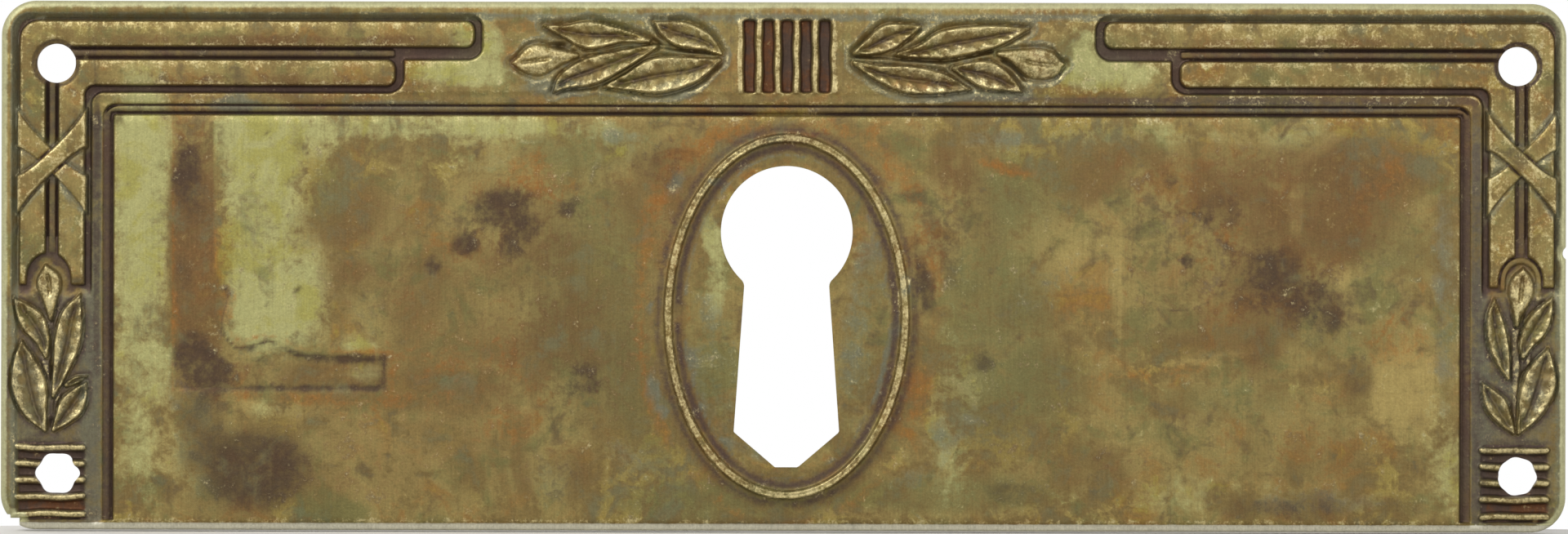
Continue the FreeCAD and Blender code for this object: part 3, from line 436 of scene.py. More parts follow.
# %% Ribs of the middle block
RIBS, RIB_PITCH, RIB = 6, 1.2, 0.24
BLOCK_HALF, BLOCK_TOP = 3.3, HALF_HEIGHT - 1.05
BLOCK_FOOT = top(PANEL_GROOVE) + 0.65
rib_edge = np.full(height.shape, FAR)
area, x, z = window(SHIFT - 4.2, SHIFT + 4.2, BLOCK_FOOT - 1, BLOCK_TOP + 1)
x = x - SHIFT
block_z, block_half = (BLOCK_TOP + BLOCK_FOOT) / 2, (BLOCK_TOP - BLOCK_FOOT) / 2
for number in range(RIBS - 1):
    valley_x = RIB_PITCH * (number - (RIBS - 2) / 2)
    valley = box_distance(x - valley_x, z - block_z, (RIB_PITCH - RIB) / 2 + 0.06, block_half, 0.4)
    sink(area, valley, FLOOR - 0.02, 0.2)
for hand in HANDS:
    flank = box_distance(x - hand * (RIB_PITCH * 3), z - block_z, 0.3, block_half + 0.1, 0.3)
    sink(area, flank, FACE - 0.16, 0.5)
waist = 0.05 * np.sin((z - BLOCK_FOOT) * 2.3 + x * 3.1)
for number in range(RIBS):
    rib_x = RIB_PITCH * (number - (RIBS - 1) / 2)
    rib = box_distance(x - rib_x + waist * 0.6, z - block_z, RIB / 2, block_half - 0.1, 0.15)
    rib_edge[area] = np.minimum(rib_edge[area], rib)
    lift(area, rib, FLOOR, FACE + 0.1 + waist, 0.22)
print(f"{RIBS} ribs, {RIB_PITCH} mm apart")

# %% [markdown]
# Each side carries, from the top, two crossed ribbons over the bars, a bud in a small arch, a spray
# of leaves, and five level ribs. The field between them lies lower than the bars and comes up
# softly to them. The dies weren't alike left and right, so each side has a few measures of its own.

# %% Field, level ribs and arch of each side
LADDER_RIBS, LADDER_PITCH, LADDER_HALF = 5, 1.05, 2.2
LADDER_Z = -HALF_HEIGHT + 1.02
LADDER_HEAD = LADDER_Z + LADDER_PITCH * (LADDER_RIBS - 1)
CROSS_Z, CROSS_RISE, RIBBON = 6.625, 2.06, 0.68
FIELD = FACE - 0.24
ARCH, ARCH_WELL, ARCH_FOOT = 1.15, 1.52, BUD_Z - 0.55
ARCHES = {-1: (0.05, 0.2, 0.14), 1: (0.45, 0.05, 0.3)}  # ladder's and arch's offset, arch's rise
ladder_z, ladder_half_z = (LADDER_Z + LADDER_HEAD) / 2, (LADDER_HEAD - LADDER_Z + LADDER_PITCH) / 2


def stamp_side(hand, area, x, z):
    axis_x = SHIFT + SIDE_AXIS * hand
    ladder_off, arch_off, arch_rise = ARCHES[hand]
    ladder_x, arch_x = axis_x - ladder_off, axis_x - arch_off
    out = np.abs(x - SHIFT)
    field = highest(out - side(0), side(PANEL_GROOVE) - out, LADDER_Z - LADDER_PITCH / 2 - z)
    sink(area, field, rim_slope(x - SHIFT, z, FIELD), 0.2, ease((SIDE_END + 0.8 - z) / SIDE_FADE))
    trough = box_distance(x - ladder_x, z - ladder_z, LADDER_HALF + 0.12, ladder_half_z - 0.1, 0.4)
    sink(area, trough, FLOOR, 0.45)
    for number in range(LADDER_RIBS):
        bow = 0.05 * ((x - ladder_x) / LADDER_HALF) ** 2 * (1 if number else -1)
        rib_z = LADDER_Z + LADDER_PITCH * number + bow + 0.03 * np.sin(x * 2.1 + number)
        rib = box_distance(x - ladder_x, z - rib_z, LADDER_HALF, RIB / 2, 0.15)
        rib_edge[area] = np.minimum(rib_edge[area], rib)
        lift(area, rib, FLOOR, FACE + 0.04, 0.2)
    # Round the bud the sheet is deep, and a fine bead arches over it with a leg on each side.
    out = np.where(z < BUD_Z, np.abs(x - arch_x), np.hypot(x - arch_x, (z - BUD_Z) * 0.88))
    sink(area, np.maximum(out - ARCH_WELL, ARCH_FOOT - z), FLOOR, 0.2)
    arch = np.maximum(np.abs(out - ARCH) - 0.12, ARCH_FOOT - z)
    lift(area, arch, FLOOR, FLOOR + arch_rise, 0.14)


print(f"{LADDER_RIBS} level ribs, {LADDER_PITCH} mm apart, up to {LADDER_HEAD:.2f} mm")

# %% Ribbons of each side
ribbon_edge = np.full(height.shape, FAR)


def stamp_ribbons(hand, area, x, z):
    """Two crossed ribbons, the second over the first, wider and higher towards their ends."""
    axis_x = SHIFT + SIDE_AXIS * hand
    off = (x - axis_x) / ACROSS_BARS
    for lean, rise in ((hand, 0.15), (-hand, 0.32)):
        middle = CROSS_Z + lean * CROSS_RISE * off
        wide = RIBBON + 0.4 * np.abs(off) ** 3
        ribbon = np.maximum((np.abs(z - middle) - wide) * 0.72, np.abs(x - axis_x) - ACROSS_BARS)
        ribbon_edge[area] = np.minimum(ribbon_edge[area], ribbon)
        sink(area, ribbon - 0.34, FACE - 0.16, 0.34)
        flared = FACE + rise - 0.07 + 0.09 * np.abs(off) - 0.05 * np.clip(1 + ribbon / 0.3, 0, 1)
        lift(area, ribbon, FLOOR, flared, 0.16)


print(f"ribbons cross at {CROSS_Z} mm")

# %% Both side columns
KNOBS = {-1: -1.15, 1: 1.05}
for hand, (*leaves, bud) in SIDE_SPRAYS.items():
    axis_x = SHIFT + SIDE_AXIS * hand
    ends = sorted((SHIFT + hand * (side(PANEL_GROOVE) - 0.5), hand * REACH_X))
    area, x, z = window(*ends, -REACH_Z, CROSS_Z + 5)
    stamp_side(hand, area, x, z)
    anchor = (axis_x, SPRAY_FOOT)
    outline_leaves(anchor, (*leaves, bud))
    stalk = highest(np.abs(x - axis_x) - 0.5, z - BUD_Z + 2.6, SPRAY_FOOT + 0.8 - z)
    lift(area, stalk, FLOOR, FACE - 0.06, 0.35)
    stamp_bud(anchor, bud, FIELD - 0.1, FACE + 0.14)
    for leaf in leaves:
        stamp_leaf(anchor, leaf, FIELD, FACE + 0.18)
    stamp_line(((axis_x, BUD_Z - 2.2), (axis_x + 0.05, -6), (axis_x, SPRAY_FOOT + 0.3)), 0.16, 0.28)
    stamp_lump(axis_x + KNOBS[hand], BUD_Z - 1.025, 0.3, 0.3, 0.25)
    stamp_ribbons(hand, area, x, z)
print("side columns: crossed ribbons, bud, leaves and level ribs on both sides")

# %% [markdown]
# An oval ring stands round the keyhole. Its crest is worn flat, and the sheet inside it was struck
# a second time, which leaves a faint second oval.

# %% Oval ring and keyhole
HEAD_R, HEAD_Z, HEAD_DROP = 4.21, 2.215, 15.04
NECK, SLOT_FOOT, POINT, TIP = 2.7, 3.37, 2.25, 0.73
NECK_Z = HEAD_Z - math.sqrt(HEAD_R**2 - NECK**2)
RING_Z, RING_X, RING_H = -3.2, 8.0, 11.825
RING_FOOT, RING_CREST = 0.86, 0.4
area, x, z = window(SHIFT - 10, SHIFT + 10, RING_Z - 13.6, RING_Z + 13.6)
from_ring = np.full(height.shape, FAR)
ring_half = RING_X - RING_FOOT / 2, RING_H - RING_FOOT / 2
from_ring[area] = oval_distance(x - SHIFT, z - RING_Z, *ring_half)
off_ring = np.abs(from_ring)
height += 0.1 * line_at(off_ring, 0, 0.75)
height += 0.05 * ease((-from_ring - 0.95) / 0.2) * (from_ring > -3)
lift(area, off_ring[area] - RING_CREST / 2, 0, CROWN - 0.01, (RING_FOOT - RING_CREST) / 2)
height -= 0.07 * line_at(off_ring, 0, 0.09)


def keyhole_distance(x, z):
    """Distance outside the keyhole: a round head over a slot that widens to a blunt point."""
    x = np.abs(x - SHIFT)
    head = np.hypot(x, z - HEAD_Z) - HEAD_R
    foot = HEAD_Z - HEAD_DROP
    turn = foot + POINT
    lean, cut = (SLOT_FOOT - NECK) / (NECK_Z - turn), (SLOT_FOOT - TIP) / POINT
    flank = (x - SLOT_FOOT + (z - turn) * lean) / math.hypot(1, lean)
    point = (x - SLOT_FOOT + (turn - z) * cut) / math.hypot(1, cut)
    slot = highest(flank, point, foot - z, z - HEAD_Z)
    # The neck is a little rounded where the two meet.
    blend = np.clip(0.5 + (slot - head) / 0.5, 0, 1)
    return slot * (1 - blend) + head * blend - 0.25 * blend * (1 - blend)


print(f"oval ring {2 * RING_X:.1f} mm wide, keyhole {HEAD_R + HEAD_DROP:.1f} mm long")

# %% [markdown]
# Pins went through four holes. The upper two were drilled clean in a shallow dimple. The lower two
# were punched through the ribs and tore, so their edges are ragged.

# %% Nail holes
NAIL, NAIL_X, DIMPLE = 1.25, HALF_WIDTH - 3.3, 1.66
NAIL_TOP, NAIL_FOOT = HALF_HEIGHT - 4.0, -HALF_HEIGHT + 3.6
RAGGED = {-1: ((0.1, -0.02), (1.25, 0.2, 6, 0.1)), 1: ((0.02, -0.02), (1.19, 0.11, 7, 0.4))}


def from_nail(x, z, hand):
    """Distance from the middle of an upper nail hole."""
    return np.hypot(x - SHIFT - NAIL_X * hand, z - NAIL_TOP)


def nail_distance(x, z):
    """Distance outside the nearest nail hole."""
    nearest = np.full(np.broadcast_shapes(x.shape, z.shape), FAR)
    for hand in HANDS:
        (off_x, off_z), (smallest, depth, lobes, turn) = RAGGED[hand]
        out_x, out_z = x - SHIFT - NAIL_X * hand - off_x, z - NAIL_FOOT - off_z
        angle = np.arctan2(out_z, out_x)
        ragged = 0.5 + 0.5 * np.cos(lobes * angle + turn)
        torn = smallest + depth * ragged * (0.45 + 0.55 * np.cos(angle) ** 2)
        nearest = np.minimum(nearest, from_nail(x, z, hand) - NAIL)
        nearest = np.minimum(nearest, np.hypot(out_x, out_z) - torn)
    return nearest


for hand in HANDS:
    nail_x = SHIFT + NAIL_X * hand
    area, x, z = window(nail_x - 2.4, nail_x + 2.4, NAIL_TOP - 2.4, NAIL_TOP + 2.4)
    sink(area, from_nail(x, z, hand) - DIMPLE, FACE - 0.3, 0.4)
print(f"four nail holes, {2 * NAIL} mm across")

# %% [markdown]
# The outline is a rectangle with rounded corners. A bit of the lower left corner is lost and there
# is a nick in the right edge. The rim rolls over at the outline, less so along the foot.

# %% Rim and outline
ROUND, LOST, NICK = 2.25, ((0.62, 0.95), (1.2, 0.72)), (0.15, 0.95, 0.36)


def outline_distance(x, z, inset=0.0):
    """Distance outside the plate's outline, with its chipped corner and the nick at the right."""
    plate = box_distance(x, z, HALF_WIDTH - inset, HALF_HEIGHT - inset, ROUND - inset)
    for lost_x, lost_z in LOST:
        chip = np.maximum(x + HALF_WIDTH - lost_x - inset, z + HALF_HEIGHT - lost_z - inset)
        plate = np.maximum(plate, -chip)
    if inset == 0:
        nick_x, nick_z, nick = NICK
        plate = np.maximum(plate, nick - np.hypot(x - HALF_WIDTH - nick_x, (z - nick_z) * 0.9))
    return plate


foot = ease((PANEL_FOOT - Z) / 0.16)
height -= foot * 0.14
outside = outline_distance(X, Z)
above_foot = ease((Z + HALF_HEIGHT - 0.4) / 0.8)
edge = np.clip(-outside / (0.2 + 0.4 * above_foot), 0, 1)
height -= (0.2 + 0.22 * above_foot) * (1 - np.sqrt(1 - (1 - edge) ** 2))
height[outside > 0] = FLOOR
holes = np.minimum(keyhole_distance(X, Z), nail_distance(X, Z))
metal = np.maximum(outside, -holes)
print(f"rim and holes: {np.mean(metal < 0):.1%} of the map is metal")

# %% [markdown]
# The panel isn't perfect. A strip once lay on it and left an angle pressed into the metal, a round
# tool left a dent with a soft ring, a smaller one left another, and the whole sheet is a little wavy.

# %% Old marks
MARK_PATH = (
    (-36.35, 9.6), (-36.3, 0.9), (-35.75, -1.0), (-35.45, -1.85), (-35.6, -2.75), (-35.8, -3.6),
    (-35.65, -4.5), (-35.0, -5.15), (-34.35, -5.2), (-33.5, -4.95), (-32.75, -4.8), (-31.9, -5.15),
    (-31.1, -5.6), (-29.85, -5.75), (-27.9, -5.85), (-25.5, -5.85),
)
MARK_LEFT, MARK_FOOT, MARK_END = -39.0, -7.95, -25.45
DENT_R, SMALL_R = 3.3, 0.52
mark_map = np.full(height.shape, FAR)
area, x, z = window(-41, -24, -10, top(PANEL_EDGE))
nearest, hand, _ = off_line(x, z, through(MARK_PATH, 4))
mark = highest(nearest * hand, MARK_LEFT - x, MARK_FOOT - z, x - MARK_END, z - top(PANEL_EDGE))
mark_map[area] = mark
height[area] -= 0.05 * ease(-mark / 0.22)
height[area] -= 0.05 * line_at(mark, -0.05, 0.1)
height[area] += 0.02 * line_at(mark, 0.2, 0.14)
dent, small_dent = np.hypot(X - 25.25, Z - 0.4), np.hypot(X - 32.45, Z + 1.7)
height -= 0.06 * ease((DENT_R - dent) / 0.5) * (0.4 + 0.6 * (dent / DENT_R) ** 2)
height -= 0.12 * line_at(dent, 0, 0.35) + 0.03 * line_at(small_dent, SMALL_R, 0.12)
height += 0.012 * np.sin(X * 0.31 + 1.3) * np.sin(Z * 0.42 + X * 0.07)
height += 0.01 * np.sin(X * 0.83 - Z * 0.57)
height = np.clip(blurred(height, 0.045), 0.6, CROWN - 0.002)
print(f"finished relief: {height[metal < 0].min():.2f} to {height[metal < 0].max():.2f} mm")

# %% [markdown]
# Patina grows where a cloth can't reach and wears off where it can. Both come from the relief: a
# place that lies below its surroundings is a hollow, and one that stands above them is a crest.
# The crests also carry painted highlights, on the leaves' margins and the panel's lower edge.

# %% Hollows, crests and painted highlights
on_rim = ease((0.5 + outside) / 0.3)
by_leaf = ease((0.5 - leaf_edge) / 0.2)
near_ring = ease((2.2 - off_ring) / 0.6)
deep = (blurred(height, 0.5) - height) / 0.34
fine = 0.75 * (blurred(height, 0.16) - height) / 0.09
low = (FACE - 0.1 - height) / 0.36
hollow = np.clip(highest(deep, fine, low), 0, 1) * (1 - on_rim)
hollow *= (1 - 0.7 * near_ring) * (1 - 0.65 * by_leaf) * (1 - 0.5 * line_at(ribbon_edge, 0.2, 0.25))
panel = highest(from_axis - side(PANEL_EDGE), Z - top(PANEL_EDGE), PANEL_FOOT - Z)
edges = np.clip((height - blurred(height, 0.15)) / 0.045, 0, 1) * ease((height - FACE + 0.2) / 0.15)
crest = edges * (0.65 + 0.35 * ease((height - FACE - 0.04) / 0.1))
crest = np.maximum(crest, 0.75 * np.clip((height - FACE - 0.1) / 0.16, 0, 1))
crest *= 1 - 0.7 * ease((outside + 0.95) / 0.3)
crest *= (1 - 0.45 * ease(-ribbon_edge / 0.3)) * (1 - 0.55 * leaf_middle)
bar_wear = 0.13 + 0.13 * ease((X + 5) / 20)
crest = np.where(panel < 0.05, crest * 0.5, np.maximum(crest, bar_wear * (height > FACE - 0.06)))
ribbon_end = np.abs(np.abs(from_axis - SIDE_AXIS) - ACROSS_BARS)
crest = np.maximum(crest, 0.85 * line_at(ribbon_end, 0.1, 0.12) * (ribbon_edge < 0.02))
crest = np.maximum(crest, 0.8 * line_at(off_ring, 0.1, 0.19))
# Painted highlight, partly wear: the leaves' margins and flanks are lit up, the side leaves most.
crest = np.maximum(crest, 0.9 * line_at(leaf_edge, -0.15, 0.13) * (height > FACE - 0.1))
crest = np.maximum(crest, (0.66 + 0.24 * (Z < SIDE_END)) * ease(-leaf_edge / 0.12) * (1 - leaf_middle))
block = (from_axis < BLOCK_HALF) & (Z > BLOCK_FOOT - 0.3)
ladders = (np.abs(from_axis - SIDE_AXIS - 0.2) < LADDER_HALF + 0.2) & (Z < LADDER_HEAD + 0.4)
crest = np.maximum(crest, 0.95 * ease((0.12 - rib_edge) / 0.12))
# A painted highlight: a bright line along the panel's lower edge, where the sheet turns down to the foot.
crest = np.maximum(crest, 0.9 * line_at(Z, PANEL_FOOT + 0.03, 0.08) * (panel < 0.3))
crest = np.maximum(crest, 0.85 * line_at(small_dent, 0.46, 0.1))
print(f"hollows cover {np.mean(hollow > 0.5):.1%}, crests {np.mean(crest > 0.5):.1%}")

# %% [markdown]
# Red oxide sits between the ribs, and brown lies where the strip was and round the ring. Rust runs
# in thin lines along the mark's outline and outside and inside the ring.

# %% Red, brown, rust and painted shade
valley = np.clip((FACE - 0.15 - height) / 0.2, 0, 1)
middle = line_at(Z, block_z, 1.0) * ease((X + 1) / 1.5)
red = valley * (block * (1 - 0.7 * middle) + ladders * (0.3 + 0.6 * (Z < LADDER_Z + LADDER_PITCH)))
inside = ease(-mark_map / 0.15)
upright = ease((-35.4 - X) / 1.2)
lower_mark = ease((-4.5 - Z) / 1.0) * ease((X + 36) / 2)
wavy = ease((-0.5 - Z) / 1.5) * ease((X + 36.6) / 0.5)
brown = inside * (0.45 + 0.5 * upright)
brown = np.maximum(brown, 0.6 * line_at(off_ring, 0.9, 0.5))
# Along the leaves' middles the brown is partly patina and partly painted shade in the veins.
brown = np.maximum(brown, np.maximum(0.2 * by_leaf, 0.75 * leaf_middle))
hollow = np.maximum(hollow, 0.75 * line_at(from_ring, -0.62, 0.3))
hollow = np.maximum(hollow, 0.6 * line_at(from_ring, 0.62, 0.3))
hollow = np.maximum(hollow, (0.25 + 0.35 * ease((X - 8) / 12)) * ease(-(strip - 0.1) / 0.2))
# Painted shade: a dark ring round each upper nail hole's dimple, darker at the right.
for hand, dark in ((-1, 0.6), (1, 0.85)):
    hollow = np.maximum(hollow, dark * line_at(from_nail(X, Z, hand), NAIL + 0.2, 0.14))
rust = 0.55 * line_at(mark_map, 0, 0.16) * (Z < top(PANEL_EDGE) - 0.3)
rust = np.maximum(rust, 0.8 * line_at(mark_map, 0.4, 0.25) * wavy)
rust = np.maximum(rust, 0.6 * line_at(mark_map, 0.3, 0.3) * lower_mark)
rust = np.maximum(rust, 0.55 * line_at(from_ring, 1.8, 0.5))
rust = np.maximum(rust, 0.5 * line_at(from_ring, -1.5, 0.3))
print(f"rust lines cover {np.mean(rust > 0.3):.1%}")

# %% [markdown]
# Soot is the near black of old wax and dirt. It stays along the lower edge of the pressed mark, and
# in the leaves' middles, where it is painted shade along the veins as well as dirt. The film is the
# grey green that polish leaves beside every raised form.

# %% Soot, painted shade and film
soot_and_shade = 0.15 * line_at(off_ring, 0.42, 0.14)
# In the leaves' middles the near black is painted shade along the veins, with dirt.
soot_and_shade = np.maximum(soot_and_shade, 0.7 * ease((leaf_middle - 0.76) / 0.25))
patchy = 0.75 + 0.25 * np.sin(X * 3.1 + Z) * np.sin(X * 1.3 + 1)
soot_and_shade = np.maximum(soot_and_shade, 1.35 * line_at(mark_map, -0.1, 0.32) * lower_mark * patchy)
soot_and_shade = np.maximum(soot_and_shade, 0.85 * line_at(mark_map, -0.06, 0.16) * wavy)
soot_and_shade = np.maximum(soot_and_shade, 0.6 * line_at(dent, 3.15, 0.14))
rim_groove = rim_inset(X - SHIFT, Z)
rim_groove = ease((rim_groove + 0.15) / 0.2) * ease((GAP - 0.06 - rim_groove) / 0.12)
side_field = ease((side(PANEL_GROOVE) - from_axis) / -0.2) * ease((SIDE_END - Z) / 1.0)
off_leaf = ease(leaf_edge / 0.12)
film = 0.75 * line_at(leaf_edge, 0.48, 0.16) * in_frieze
film = np.maximum(film, 0.55 * ease((0.7 - leaf_edge) / 0.3) * off_leaf * in_frieze)
film = np.maximum(film, 0.5 * line_at(mark_map, 0.2, 0.1) * wavy * (1 - lower_mark))
film = np.maximum(film, 0.6 * ease((0.75 - ribbon_edge) / 0.4) * (ribbon_edge > 0.02))
film = np.maximum(film, 0.6 * line_at(from_ring, -1.05, 0.13))
film = np.maximum(film, 0.75 * ease(-(strip - 0.1) / 0.2) * at_side)
film = np.maximum(film, 0.8 * rim_groove)
film = np.maximum(film, 0.48 * side_field * off_leaf)
film = np.maximum(film, 0.32 * line_at(dent, 2.6, 0.6) * ease((X - 23.2 + Z) / 3))
film = np.maximum(film, 0.38 * by_leaf)
hollow = np.maximum(hollow, 0.4 * side_field * off_leaf)
# Painted shadow: a dark band round the outlines of the side leaves.
hollow = np.maximum(hollow, 0.66 * side_field * line_at(leaf_edge, 0.2, 0.22))
hollow *= 1 - 0.65 * rim_groove
# The pale rim is partly wear and partly a painted reflection of the white surround on the rolled edge.
rim = ease((0.52 + outside) / 0.25)
# Painted light: the foot strip faces down, into shade, and is made pale all along.
painted_foot_light = np.broadcast_to(foot, height.shape)
fields = {
    "hollow": hollow, "crest": crest, "rim": rim, "painted_foot_light": painted_foot_light, "film": film, "red": red,
    "rust": rust, "soot_and_shade": soot_and_shade, "brown": brown,
}
print(f"film covers {np.mean(film > 0.4):.1%}, soot {np.mean(soot_and_shade > 0.4):.1%}")
